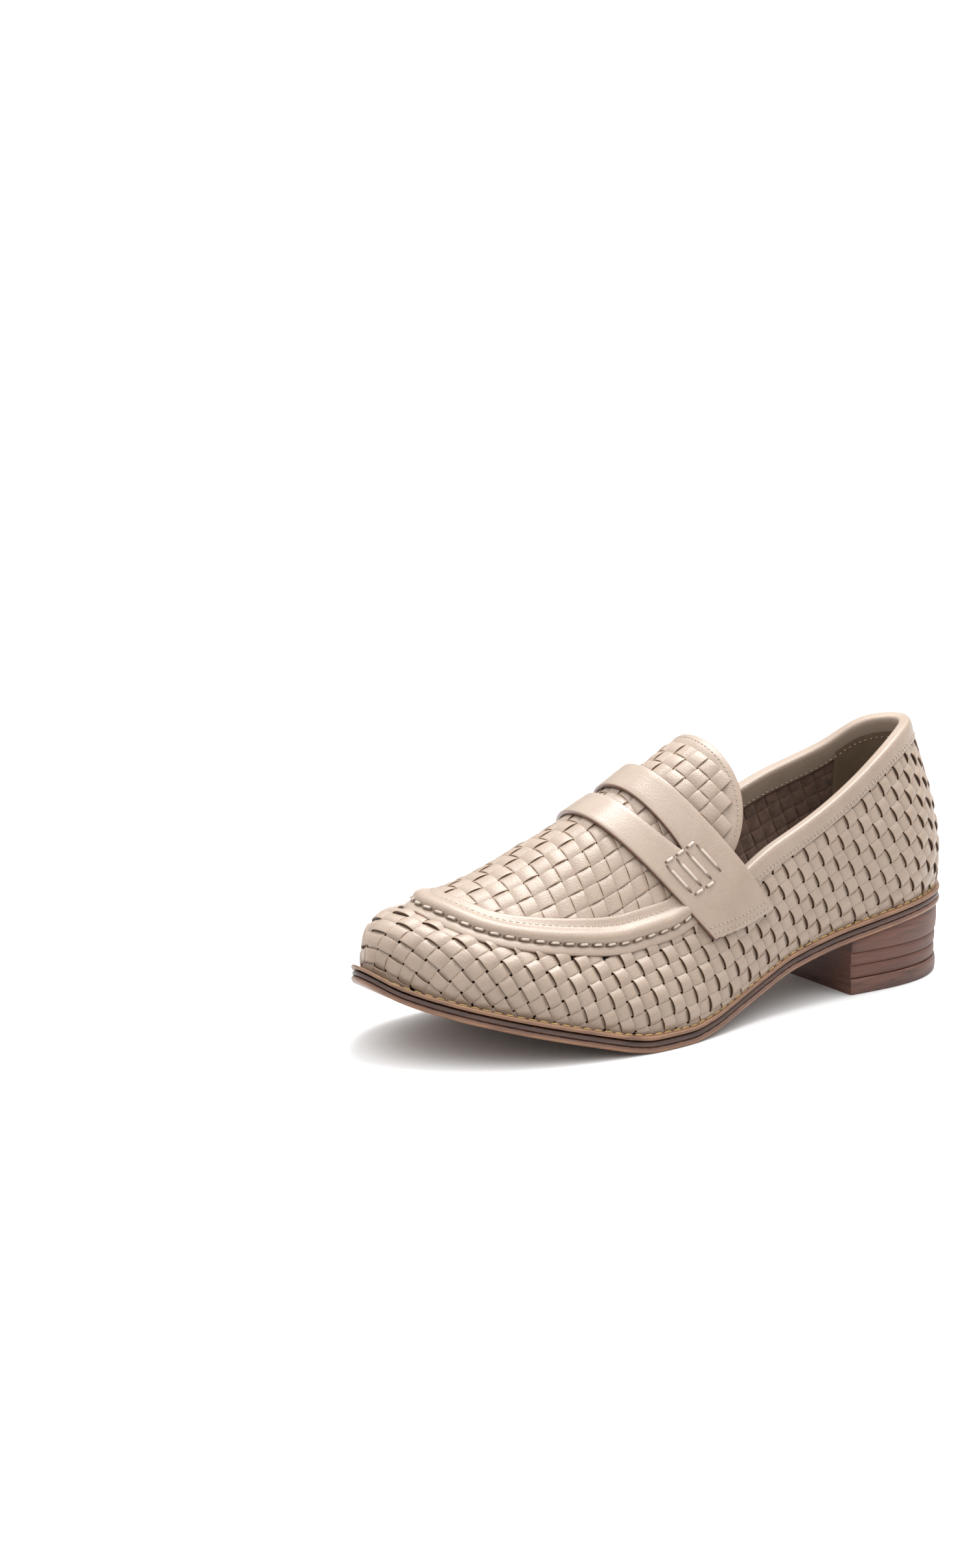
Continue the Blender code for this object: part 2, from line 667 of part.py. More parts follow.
def sheet_place(s, depth):
    """Place on the flat sheet of a point of the wall."""
    x = np.interp(s, SHEET_S, SPINE[:, 0])
    y = np.interp(s, SHEET_S, SPINE[:, 1])
    turn = sheet_turn(s)
    reach = 2 * SHEET_KEEPS * np.interp(s, SHEET_S, HALF_DEPTH) - depth
    return np.column_stack([x - np.sin(turn) * reach, y + np.cos(turn) * reach])


def wall_lattice():
    """Corners of the weave on the wall, as (s, depth), found back from the flat sheet."""
    s_grid = np.linspace(0.0, 1.0, 700)
    shares = np.linspace(0.0, 1.0, 26)
    full = np.interp(s_grid, SHEET_S, HALF_DEPTH) * 2
    ss = np.repeat(s_grid, len(shares))
    depths = (full[:, None] * shares[None]).ravel()
    sheet = sheet_place(ss, depths)
    nodes = {}
    for (i, j) in sorted(set(map(tuple, np.round(sheet / PITCH).astype(int)))):
        goal = np.array([i, j]) * PITCH
        at = np.argmin(((sheet - goal) ** 2).sum(axis=1))
        s, depth = ss[at], depths[at]
        for _ in range(6):
            s = min(max(s, 0.001), 0.999)
            here = sheet_place(np.array([s]), depth)[0]
            ds = (sheet_place(np.array([s + 1e-4]), depth)[0] - here) / 1e-4
            dd = (sheet_place(np.array([s]), depth + 1e-5)[0] - here) / 1e-5
            move = np.linalg.solve(np.column_stack([ds, dd]), goal - here)
            s, depth = s + move[0], depth + move[1]
        nodes[(i, j)] = (s, depth)
    return nodes


def wall_cells():
    """Cells of the weave between the covered top, the welt and the back strip."""
    nodes = wall_lattice()
    s, depth = np.array(list(nodes.values())).T
    full = 2 * np.interp(s, SHEET_S, HALF_DEPTH)
    low = np.where((s > S_LIP_OUTER) & (s < S_LIP_INNER), BORDER_LIP + 0.0006, BINDING_DROP + 0.0006)
    high = full - WEAVE_FOOT_MARGIN
    place = np.minimum(s, 1 - s) * PERIMETER
    half = back_half(full - depth) + 0.0008
    reach = 0.45 * PITCH
    fine = (depth > low - reach) & (depth < high + reach) & (place > half - reach)
    depth = np.clip(depth, low, high)
    place = np.maximum(place, half)
    flat = np.column_stack([np.where(s < 0.5, place, PERIMETER - place), -depth])
    allowed = {node for node, good in zip(nodes, fine) if good}
    return cells_of(dict(zip(nodes, flat)), allowed)


def plug_cells(loop):
    """Whole cells of the weave on the plug, inside its border and before the throat."""
    ys = np.linspace(APRON_TIP[1], SEAM_OUTER[-1, 1], 400)
    middle = ridge_across(along(ys)) * BALL_WIDTH
    crest = np.column_stack([ys, plug_height(middle, ys)])
    length = np.concatenate([[0.0], np.cumsum(np.linalg.norm(np.diff(crest, axis=0), axis=1))])
    lattice = {}
    for j in range(1, 24):
        y = np.interp(j * APRON_PITCH, length, ys)
        centre = ridge_across(along(y)) * BALL_WIDTH
        for side in (-1, 1):
            xs = centre + side * np.linspace(0.0, 0.06, 80)
            zs = plug_height(xs, np.full(80, y))
            run = np.concatenate([[0.0], np.cumsum(np.hypot(np.diff(xs), np.diff(zs)))])
            for i in range(0, 9):
                lattice[(side * i, j)] = np.array([np.interp(i * APRON_PITCH, run, xs), y])
    nodes = list(lattice)
    points = np.array([lattice[node] for node in nodes])
    fine = inside(points, loop)
    seam = top_edge(np.linspace(S_THROAT_OUTER, S_THROAT_INNER, 200))
    surface = np.column_stack([points, plug_height(points[:, 0], points[:, 1])])
    fine &= np.linalg.norm(surface[:, None] - seam[None], axis=2).min(axis=1) > BORDER_REACH + 0.0008
    throat = loop[RIM_COUNT:]
    fine &= np.linalg.norm(points[:, None] - throat[None], axis=2).min(axis=1) > 0.0020
    return cells_of(lattice, {node for node, good in zip(nodes, fine) if good})


def back_half(height):
    """Half width of the back strip, by height over the welt."""
    rise = [0.0, 0.006, 0.014, 0.024, BACK_HEIGHT]
    low = STRIP_FOOT_HALF
    half = [low, 0.72 * low, 0.5 * low, STRIP_TOP_HALF * 1.1, STRIP_TOP_HALF]
    return np.interp(height, rise, half)


def build_upper():
    """One hollow wall with the plug: open at the collar, the throat and underneath."""
    soup = Soup()
    top = np.column_stack([RIM_S * PERIMETER, np.zeros(len(RIM_S))])
    full = 2 * np.interp(RIM_S, SHEET_S, HALF_DEPTH)
    foot = np.column_stack([RIM_S * PERIMETER, -full])
    down = -full[0] * BACK_SHARES[1:-1]
    ends = [np.column_stack([np.full(len(down), place), down]) for place in (0.0, PERIMETER)]
    loop = np.concatenate([foot, ends[1][::-1], top[::-1], ends[0]])
    weave_patch(soup, loop, wall_cells(), place_wall, STRIP_RISE)

    seam_s = RIM_S[(RIM_S > S_THROAT_OUTER - 1e-9) & (RIM_S < S_THROAT_INNER + 1e-9)]
    plug_loop = np.concatenate([top_edge(seam_s)[:, :2], THROAT[::-1][1:-1, :2]])
    weave_patch(soup, plug_loop, plug_cells(plug_loop), lambda xy, out: plug_at(xy[:, 0], xy[:, 1], out),
                STRIP_RISE, top_edge(seam_s))

    inner_foot = inner_wall(RIM_S, 0.0)
    inner_top = inner_rim(RIM_S)
    levels = [inner_foot] + [inner_wall(RIM_S, t) for t in (0.3, 0.62, 0.86)] + [inner_top]
    for low, high in zip(levels, levels[1:]):
        soup.strip(low, high)
    outer_foot, outer_top = place_wall(foot, np.zeros(len(foot))), place_wall(top, np.zeros(len(top)))
    soup.strip(outer_foot, inner_foot)
    collar = (RIM_S <= S_THROAT_OUTER + 1e-9)
    soup.strip(outer_top[collar], inner_top[collar])
    collar = (RIM_S >= S_THROAT_INNER - 1e-9)
    soup.strip(outer_top[collar], inner_top[collar])

    grid = grid_inside([plug_loop], SLAB_GRID, 0.004)
    plan, faces = triangulate([plug_loop], grid)
    under = plug_at(plan[:, 0], plan[:, 1], -WALL)
    count = len(seam_s)
    known = np.concatenate([inner_rim(seam_s), plug_at(THROAT[::-1][1:-1, 0], THROAT[::-1][1:-1, 1], -WALL)])
    under[:len(known)] = known
    soup.add(under, faces[:, ::-1])
    outer_throat = np.concatenate([place_wall(top_flat(seam_s[-1:]), np.zeros(1)),
                                   plug_at(plug_loop[count:, 0], plug_loop[count:, 1]),
                                   place_wall(top_flat(seam_s[:1]), np.zeros(1))])
    inner_throat = np.concatenate([known[count - 1:], known[:1]])
    soup.strip(outer_throat, inner_throat)
    return make("upper", soup, "cream", 0.9)


def top_flat(s):
    return np.column_stack([s * PERIMETER, np.zeros(len(s))])


def place_wall(flat, out):
    return wall_at(flat[:, 0] / PERIMETER, -flat[:, 1], out)


def inner_wall(s, t):
    return wall_skin(s, t) - wall_normal(s, t) * WALL


def inner_rim(s):
    """Inner top edge: under the plug it lies a wall below both outer faces."""
    top = top_edge(s)
    side = wall_normal(s, 1.0)
    middle = ridge_across(along(top[:, 1])) * BALL_WIDTH
    inward = 0.0015 * np.sign(middle - top[:, 0])
    plug = plug_at(top[:, 0] + inward, top[:, 1], 1.0) - plug_at(top[:, 0] + inward, top[:, 1])
    under = (s > S_THROAT_OUTER - 1e-9) & (s < S_THROAT_INNER + 1e-9)
    way = unit(side + np.where(under[:, None], plug, 0.0))
    reach = WALL / np.clip((way * side).sum(axis=1), 0.6, 1.0)
    return top - way * reach[:, None]


def sweep(name, stations, colour):
    """Closed solid through rows of points that each go round a profile."""
    soup = Soup()
    stations = np.asarray(stations)
    for near, far in zip(stations, stations[1:]):
        soup.strip(np.vstack([near, near[:1]]), np.vstack([far, far[:1]]))
    size = stations.shape[1]
    soup.add(stations[0], [tuple(range(size))])
    soup.add(stations[-1], [tuple(range(size))[::-1]])
    return make(name, soup, colour)


def seam_inward(s, reach, out):
    """Point on the plug at a reach inwards from its seam, lifted out of its face."""
    top = top_edge(s)
    way = -outward(top_plan, s)
    steps = np.linspace(0.0, 0.020, 12)
    points = []
    for base, aim in zip(top, way):
        xy = base[None, :2] + aim[None] * steps[:, None]
        rise = plug_height(xy[:, 0], xy[:, 1])
        run = np.concatenate([[0.0], np.cumsum(np.hypot(np.diff(steps), np.diff(rise)))])
        along_plan = np.interp(max(reach, 0.0), run, steps)
        x, y = base[:2] + aim * max(along_plan, 0.0004)
        point = plug_at(x, y, out)[0]
        if reach < 0:
            slope = (rise[1] - rise[0]) / steps[1]
            point = point + np.array([aim[0], aim[1], slope]) * reach / np.hypot(1.0, slope)
        points.append(point)
    return np.array(points)


def build_border():
    """Raised, hand sewn band round the apron, with its cut edge over the vamp."""
    bead = BORDER_BEAD
    under = OVERLAY_BED
    profile = [(-BORDER_LIP, under), (-BORDER_LIP, 0.50 * bead), (0.0032, 0.50 * bead), (0.0047, 0.90 * bead),
               (0.0072, bead + GAP), (0.0096, 0.72 * bead), (0.0106, 0.46 * bead),
               (BORDER_REACH, 0.44 * bead), (BORDER_REACH, under), (0.66 * BORDER_REACH, under),
               (0.33 * BORDER_REACH, under)]
    plane = (PLANE_FRONT[0] - PLANE_FRONT[1] * 2 * GAP, PLANE_FRONT[1])
    rows = []
    for reach, out in profile:
        first = crossing(lambda s: seam_inward(s, reach, out), OUTER_SPAN, plane)
        last = crossing(lambda s: seam_inward(s, reach, out), INNER_SPAN, plane)
        share = np.linspace(0.0, 1.0, 53)
        rows.append(seam_inward(first + (last - first) * share, reach, out))
    return sweep("apron_border", np.swapaxes(np.array(rows), 0, 1), "cream")


def build_binding():
    """Smooth leather folded over the topline, from the strap round the heel to the strap."""
    skin, drop = LEATHER, BINDING_DROP
    out, back = GAP + skin, -WALL - OVERLAY_BED
    over = -OVERLAY_BED
    profile = [(drop, GAP), (drop, out), (0.0006, out), (over - skin, -0.3 * WALL), (0.0006, back - skin),
               (drop, back - skin), (drop, back), (over, back), (over, GAP)]
    plane = (PLANE_REAR[0] + PLANE_REAR[1] * 2 * GAP, PLANE_REAR[1])
    rows = []
    for depth, lift in profile:
        first = crossing(lambda s: wall_at(s, depth, lift), OUTER_SPAN, plane)
        last = crossing(lambda s: wall_at(s, depth, lift), INNER_SPAN, plane)
        share = np.linspace(0.0, 1.0, 57)
        rows.append(wall_at((first * (1 - share) + (last - 1.0) * share), depth, lift))
    return sweep("topline_binding", np.swapaxes(np.array(rows), 0, 1), "cream")


def build_back_strip():
    """Smooth strip up the back seam, sweeping forward at the welt."""
    full = 2 * HALF_DEPTH[0]
    rises = np.array([0.0012, 0.004, 0.008, 0.014, 0.022, 0.032, 0.044, full - BINDING_DROP - 3 * GAP])
    half = back_half(rises)
    foot = np.linspace(-half[0], half[0], 10)[1:-1]
    top = np.linspace(half[-1], -half[-1], 5)[1:-1]
    loop = np.concatenate([np.column_stack([half, rises]), np.column_stack([top, np.full(3, rises[-1])]),
                           np.column_stack([-half, rises])[::-1], np.column_stack([foot, np.full(8, rises[0])])])
    grid = grid_inside([loop], 0.0050, 0.0020)
    plan, faces = triangulate([loop], grid)

    def place(flat, out):
        s = flat[:, 0] / PERIMETER
        tall = 2 * np.interp(np.mod(s, 1.0), SHEET_S, HALF_DEPTH)
        return wall_at(s, tall - flat[:, 1], out)

    soup = Soup()
    soup.slab(plan, faces, place, OVERLAY_BED, OVERLAY_BED + LEATHER)
    return make("back_strip", soup, "cream")


def ellipse_loop(centre, half, steps, power=1.0):
    turn = np.linspace(0.0, 2 * np.pi, steps, endpoint=False)
    wave = np.column_stack([np.cos(turn), np.sign(np.sin(turn)) * np.abs(np.sin(turn)) ** power])
    return np.array(centre) + wave * np.array(half)


def build_strap():
    """Smooth saddle over the instep, with its lens shaped slot."""
    wide = STRAP_VS[-1]
    share = np.linspace(-1.0, 1.0, 25)
    sides = np.linspace(0.0, 1.0, 6)[1:-1]
    ends = STRAP_HALF_FRONT + (STRAP_HALF_REAR - STRAP_HALF_FRONT) * sides
    loop = np.concatenate([np.column_stack([share * STRAP_HALF_FRONT, np.zeros(25)]),
                           np.column_stack([ends, sides * wide]),
                           np.column_stack([share[::-1] * STRAP_HALF_REAR, np.full(25, wide)]),
                           np.column_stack([-ends, sides * wide])[::-1]])
    slot = ellipse_loop((0.0, 0.5 * wide), (SLOT_HALF, 0.5 * SLOT_WIDTH), 20, 1.4)
    grid = grid_inside([loop, slot], 0.0062, 0.0026)
    plan, faces = triangulate([loop, slot], grid)
    soup = Soup()
    low = STRIP_RISE + STRAP_BED
    soup.slab(plan, faces, STRAP.at, low, low + STRAP_LEATHER)
    return make("strap", soup, "cream")


def tongue_drape():
    """Surface of the tongue: tucked under the plug, then flaring back over the opening."""
    us = np.linspace(-TONGUE_HALF - TONGUE_SKEW - 0.004, TONGUE_HALF + 0.004, 27)
    vs = np.concatenate([np.linspace(-TONGUE_TUCK - 0.002, 0.0, 4), np.linspace(0.0, TONGUE_LENGTH + 0.002, 7)[1:]])
    share = STRAP_FRONT - STRAP_WIDTH
    tucked = [girth_plane(share - v / SOLE_LENGTH * 0.87, STRAP_TILT_REAR) for v in vs[:4]]
    rows = list(soften(girth_grid(tucked, us), 3))
    base = rows[-1]
    ridge = base[np.argmin(np.abs(us))]
    for v in vs[4:]:
        grow = v / TONGUE_LENGTH
        flat = 1 + (TONGUE_FLAT - 1) * grow
        slope = np.radians(TONGUE_SLOPE)
        shift = np.array([0.0, np.cos(slope), np.sin(slope)]) * v
        row = base.copy()
        row[:, 1:] = ridge[1:] + (base[:, 1:] - ridge[1:]) * flat
        rows.append(row + shift)
    return Drape(np.array(rows), us, vs)


def build_tongue():
    """Woven tongue with a smooth border, its front tucked under the plug."""
    arc = np.linspace(0.0, np.pi, 21)
    lean = TONGUE_SKEW * np.sin(arc)
    tip = np.column_stack([TONGUE_HALF * np.sign(np.cos(arc)) * np.abs(np.cos(arc)) ** 0.6 - lean,
                           TONGUE_LENGTH * np.sin(arc) ** 0.8])
    front = np.linspace(-TONGUE_HALF * 0.9, TONGUE_HALF * 0.9, 9)
    loop = np.concatenate([tip, np.column_stack([front, np.full(9, -TONGUE_TUCK)])])
    drape = tongue_drape()

    def place(flat, out):
        free = np.clip(1.0 + flat[:, 1] / TONGUE_RISE, 0.0, 1.0)
        lift = free * free * (3 - 2 * free) * WALL
        return drape.at(flat, lift - WALL - 3 * GAP + out)

    lattice = {}
    for j in range(0, 6):
        for i in range(-6, 7):
            lattice[(i, j)] = np.array([i * APRON_PITCH, 0.0015 + j * APRON_PITCH * 0.92])
    nodes = list(lattice)
    points = np.array([lattice[node] for node in nodes])
    apart = np.linalg.norm(points[:, None] - tip[None], axis=2).min(axis=1)
    fine = inside(points, loop) & (apart > TONGUE_BORDER)
    cells = cells_of(lattice, {node for node, good in zip(nodes, fine) if good})
    soup = Soup()
    weave_patch(soup, loop, cells, place, STRIP_RISE)
    plan, faces = triangulate([loop], grid_inside([loop], 0.007, 0.003))
    soup.add(place(plan, -TONGUE_LEATHER), faces[:, ::-1])
    ring = np.vstack([loop, loop[:1]])
    soup.strip(place(ring, 0.0), place(ring, -TONGUE_LEATHER))
    return make("tongue", soup, "cream", 0.9)


def build_slab(name, loop, low, high, colour, toe_ring=()):
    """Layer of the sole or heel between two surfaces that follow y alone."""
    rows = np.array([(0.5 - row.along) * SOLE_LENGTH for row in TREAD])
    grid = grid_inside([loop], SLAB_GRID, 0.004, rows)
    if len(toe_ring):
        apart = np.linalg.norm(grid[:, None] - toe_ring[None], axis=2).min(axis=1)
        grid = np.concatenate([grid[apart > 0.35 * SLAB_GRID], toe_ring])
    plan, faces = triangulate([loop], grid)

    def place(flat, level):
        z = np.where(np.asarray(level) > 0.5, high(flat[:, 1]), low(flat[:, 1]))
        return np.column_stack([flat, z])

    soup = Soup()
    soup.slab(plan, faces, place, 0.0, 1.0)
    return make(name, soup, colour, 0.5)


def flat_at(height):
    return lambda y: np.full(len(y), height)


def build_welt():
    """Strip between the upper and the sole, reaching out past the wall."""
    reach = welt_reach(RIM_S[:-1]) + WALL
    plans = [sole_edge(RIM_S[:-1], inset) for inset in (0.0, reach, reach + WELT_LAP)]
    ring = [np.column_stack([plan, welt_top(plan[:, 1])]) for plan in plans]
    ring += [np.column_stack([plan, welt_top(plan[:, 1]) - WELT]) for plan in plans[::-1]]
    soup = Soup()
    for low, high in zip(ring, ring[1:] + ring[:1]):
        soup.strip(np.vstack([low, low[:1]]), np.vstack([high, high[:1]]))
    return make("welt", soup, "welt", 0.5)


def heel_loop(inset):
    """Outline of the heel, cut straight across at its breast."""
    breast = 0.5 * SOLE_LENGTH - HEEL_BREAST
    ring = sole_edge(RIM_S[:-1], inset)
    outer = [p for p, s in zip(ring, RIM_S) if p[1] > breast + 0.002 and s < 0.5]
    inner = [p for p, s in zip(ring, RIM_S) if p[1] > breast + 0.002 and s > 0.5]
    fine = np.linspace(0.0, 1.0, 2000)
    edge = sole_edge(fine, inset)
    near = edge[(fine < 0.5)][np.argmin(np.abs(edge[fine < 0.5][:, 1] - breast))]
    far = edge[(fine > 0.5)][np.argmin(np.abs(edge[fine > 0.5][:, 1] - breast))]
    return np.array(inner + outer + [(near[0], breast), (far[0], breast)])


def build_sole():
    """Outsole, midsole, welt, insole and the stacked heel."""
    ring = RIM_S[:-1]
    toe = sole_edge(ring, welt_reach(ring) + WALL)
    toe = toe[along(toe[:, 1]) > TOE_BEND]
    build_slab("outsole", sole_edge(ring, 0.0), tread, outsole_top, "tan sole", toe)
    build_slab("midsole", sole_edge(ring, MIDSOLE_STEP), lambda y: outsole_top(y) + LAYER_GAP, midsole_top,
               "dark sole", toe)
    build_welt()
    toe = sole_edge(ring, welt_reach(ring) + 2 * WALL + 0.5 * WELT_LAP)
    toe = toe[along(toe[:, 1]) > TOE_BEND]
    build_slab("insole", sole_edge(ring, welt_reach(ring) + WALL + OVERLAY_BED),
               lambda y: welt_top(y) + GAP, lambda y: welt_top(y) + GAP + INSOLE, "lining", toe)
    build_slab("top_lift", heel_loop(HEEL_STEPS["top_lift"]), flat_at(0.0), flat_at(TOP_LIFT), "heel")
    base = TOP_LIFT + GAP
    for name in ("heel_lift_1", "heel_lift_2"):
        build_slab(name, heel_loop(HEEL_STEPS[name]), flat_at(base), flat_at(base + HEEL_LIFT), "heel")
        base += HEEL_LIFT + GAP
    build_slab("heel_wedge", heel_loop(HEEL_STEPS["heel_wedge"]), flat_at(base),
               lambda y: tread(y) - GAP, "heel")


def rim_places():
    """Places round the ring where the edges have their corners, closer at the heel and toe."""
    even = np.linspace(0.0, 1.0, RING_STEPS + 1)
    places = even - RING_CROWDING * np.sin(4 * np.pi * even) / (4 * np.pi)
    for s in (S_THROAT_OUTER, S_THROAT_INNER):
        places[np.argmin(np.abs(places - s))] = s
    return places


for old in list(bpy.data.objects):
    bpy.data.objects.remove(old, do_unlink=True)
collection = bpy.data.collections.new("woven_loafer")
bpy.context.scene.collection.children.link(collection)

HALF_DEPTH = 0.5 * wall_depth(SHEET_S)[1][:, -1]
SPINE = sheet_spine()
PLANE_FRONT = girth_plane(STRAP_FRONT, STRAP_TILT_FRONT)
PLANE_REAR = girth_plane(STRAP_FRONT - STRAP_WIDTH, STRAP_TILT_REAR)
PLANE_THROAT = girth_plane(STRAP_FRONT - 0.80 * STRAP_WIDTH, STRAP_TILT_REAR)
S_LIP_OUTER = crossing(lambda s: flank(s, 1.0), OUTER_SPAN, PLANE_FRONT)
S_LIP_INNER = crossing(lambda s: flank(s, 1.0), INNER_SPAN, PLANE_FRONT)
S_THROAT_OUTER = crossing(lambda s: flank(s, 1.0), OUTER_SPAN, PLANE_THROAT)
S_THROAT_INNER = crossing(lambda s: flank(s, 1.0), INNER_SPAN, PLANE_THROAT)
RIM_S = rim_places()
RIM_COUNT = int(((RIM_S > S_THROAT_OUTER - 1e-9) & (RIM_S < S_THROAT_INNER + 1e-9)).sum())
THROAT = girth(PLANE_THROAT)[6:-6:2]
STRAP_US = np.linspace(-STRAP_HALF_REAR - 0.002, STRAP_HALF_REAR + 0.002, 47)
STRAP_PLANES = [girth_plane(STRAP_FRONT - STRAP_WIDTH * k, STRAP_TILT_FRONT + (STRAP_TILT_REAR - STRAP_TILT_FRONT) * k)
                for k in np.linspace(0.0, 1.0, 6)]
STRAP_GRID = soften(girth_grid(STRAP_PLANES, STRAP_US), 2)
STRAP_VS = np.concatenate([[0.0], np.cumsum(np.linalg.norm(np.diff(STRAP_GRID[:, 23], axis=0), axis=1))])
STRAP = Drape(STRAP_GRID, STRAP_US, STRAP_VS)

build_upper()
build_border()
build_binding()
build_back_strip()
build_strap()
build_tongue()
build_sole()
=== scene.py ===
"""Looks of the woven penny loafer: strips, trims, stitches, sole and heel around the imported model.

The shape functions and tables repeat those of the part, in metres: +Z is up, the toe points
to -Y and the outer side of the foot is +X.
"""
import math
from collections import namedtuple

import bmesh
import bpy
import numpy as np
from mathutils import Matrix, Vector
from mathutils.geometry import delaunay_2d_cdt


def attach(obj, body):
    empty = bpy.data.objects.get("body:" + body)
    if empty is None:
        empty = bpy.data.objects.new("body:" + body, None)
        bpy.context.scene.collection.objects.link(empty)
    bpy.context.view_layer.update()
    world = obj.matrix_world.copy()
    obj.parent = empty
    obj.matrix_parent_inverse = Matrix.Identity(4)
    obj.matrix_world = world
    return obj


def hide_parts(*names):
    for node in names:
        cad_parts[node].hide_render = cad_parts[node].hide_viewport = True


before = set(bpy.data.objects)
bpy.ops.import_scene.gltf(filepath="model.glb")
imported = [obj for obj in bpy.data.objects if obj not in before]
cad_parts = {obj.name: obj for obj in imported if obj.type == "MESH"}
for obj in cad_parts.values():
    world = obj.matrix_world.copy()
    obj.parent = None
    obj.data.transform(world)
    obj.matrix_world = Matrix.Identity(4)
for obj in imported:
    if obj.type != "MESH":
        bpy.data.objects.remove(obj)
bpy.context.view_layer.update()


# Sizes of the last and the sole
SOLE_LENGTH = 0.2545
BALL_WIDTH = 0.0933
HEEL_RISE = 0.0272
TOE_SPRING = 0.0275
BACK_HEIGHT = 0.0640
INSTEP_RISE = 0.0470

# Layers under the foot
WELT = 0.0015
MIDSOLE = 0.0017
OUTSOLE = 0.0020
INSOLE = 0.0028
GAP = 0.0003
LAYER_GAP = 0.0005
WELT_REACH_HEEL = 0.0029
WELT_REACH_WAIST = 0.0018
WELT_REACH_TOE = 0.0044
WELT_LAP = 0.0080
MIDSOLE_STEP = 0.0004
HEEL_BREAST = 0.0590
TOP_LIFT = 0.0060
HEEL_LIFT = 0.0048
HEEL_STEPS = {"top_lift": 0.0010, "heel_lift_1": 0.0016, "heel_lift_2": 0.0014, "heel_wedge": 0.0009}

# Leather of the upper
WALL = 0.0016
STRIP_RISE = 0.0007
PITCH = 0.0057
APRON_PITCH = 0.0066

# Binding, back strip and apron border
BINDING_DROP = 0.0078
BORDER_REACH = 0.0140
OVERLAY_BED = 0.0005
STRIP_TOP_HALF = 0.0075
STRIP_FOOT_HALF = 0.0210

# Strap over the instep, and the tongue behind it
STRAP_FRONT = 0.6330
STRAP_WIDTH = 0.1094
STRAP_TILT_FRONT = 36.0
STRAP_TILT_REAR = 32.0
STRAP_HALF_FRONT = 0.0668
STRAP_HALF_REAR = 0.0720
STRAP_LEATHER = 0.0018
STRAP_BED = 0.0010
SLOT_HALF = 0.0330
SLOT_WIDTH = 0.0062
TONGUE_HALF = 0.0465
TONGUE_LENGTH = 0.0255
TONGUE_SKEW = 0.0090
TONGUE_TUCK = 0.0120
TONGUE_RISE = 0.0050
TONGUE_LEATHER = 0.0018
TONGUE_BORDER = 0.0050
TONGUE_SLOPE = 27.0
TONGUE_FLAT = 0.80

Section = namedtuple("Section", "along across top_along top_across top_rise foot_up belly shoulder drop")
# A row for each section round the foot: heel, outer side, toe, inner side. along is a
# share of SOLE_LENGTH from the back, across of BALL_WIDTH, top_rise of BACK_HEIGHT. The last
# four shape the wall between foot and top, as shares of its height.
SECTIONS = [
    Section(0.000, -0.039, 0.053, -0.044, 0.992, 0.35, 0.080, 0.100, 0.33),
    Section(0.036, 0.170, 0.086, 0.084, 0.982, 0.35, 0.080, 0.095, 0.33),
    Section(0.123, 0.282, 0.149, 0.175, 0.918, 0.35, 0.060, 0.065, 0.33),
    Section(0.257, 0.298, 0.271, 0.245, 0.752, 0.35, 0.030, 0.060, 0.33),
    Section(0.334, 0.323, 0.356, 0.278, 0.675, 0.35, 0.030, 0.060, 0.33),
    Section(0.412, 0.363, 0.440, 0.315, 0.628, 0.35, 0.040, 0.070, 0.33),
    Section(0.535, 0.459, 0.546, 0.347, 0.502, 0.40, 0.070, 0.130, 0.32),
    Section(0.628, 0.500, 0.633, 0.347, 0.448, 0.42, 0.050, 0.180, 0.28),
    Section(0.731, 0.475, 0.731, 0.325, 0.391, 0.44, 0.060, 0.220, 0.24),
    Section(0.831, 0.395, 0.817, 0.261, 0.351, 0.48, 0.060, 0.320, 0.18),
    Section(0.914, 0.256, 0.870, 0.154, 0.321, 0.52, 0.050, 0.450, 0.10),
    Section(0.976, 0.079, 0.898, 0.014, 0.286, 0.56, 0.040, 0.650, 0.03),
    Section(1.000, -0.103, 0.906, -0.114, 0.245, 0.60, 0.030, 0.850, 0.00),
    Section(0.969, -0.264, 0.886, -0.232, 0.300, 0.56, 0.040, 0.650, 0.03),
    Section(0.912, -0.409, 0.849, -0.318, 0.339, 0.52, 0.050, 0.400, 0.12),
    Section(0.827, -0.479, 0.782, -0.377, 0.394, 0.46, 0.060, 0.260, 0.20),
    Section(0.731, -0.500, 0.711, -0.404, 0.508, 0.42, 0.060, 0.180, 0.26),
    Section(0.618, -0.446, 0.613, -0.409, 0.675, 0.38, 0.060, 0.130, 0.30),
    Section(0.463, -0.339, 0.468, -0.371, 0.714, 0.35, 0.060, 0.090, 0.33),
    Section(0.340, -0.318, 0.342, -0.345, 0.665, 0.35, 0.050, 0.070, 0.33),
    Section(0.226, -0.345, 0.232, -0.329, 0.747, 0.35, 0.040, 0.060, 0.33),
    Section(0.123, -0.361, 0.138, -0.264, 0.839, 0.35, 0.050, 0.060, 0.33),
    Section(0.036, -0.243, 0.086, -0.168, 0.963, 0.35, 0.080, 0.095, 0.33),
]
TOE_ROW = 12
# Turn of the weave against the wall's level direction at each row and back at the first, in degrees
WEAVE_TURNS = (21, 21, 21, 19, 16, 13, 11, 11, 13, 24, 50, 78, 95, 110, 128, 145, 156, 163, 165, 164, 161, 159, 159,
               159)
# Share of the wall's depth at which the flat sheet keeps its length
SHEET_KEEPS = 0.72
# Rows between which each line is looked for
OUTER_ROWS = (3, 10)
INNER_ROWS = (20, 14)

Tread = namedtuple("Tread", "along heel toe")
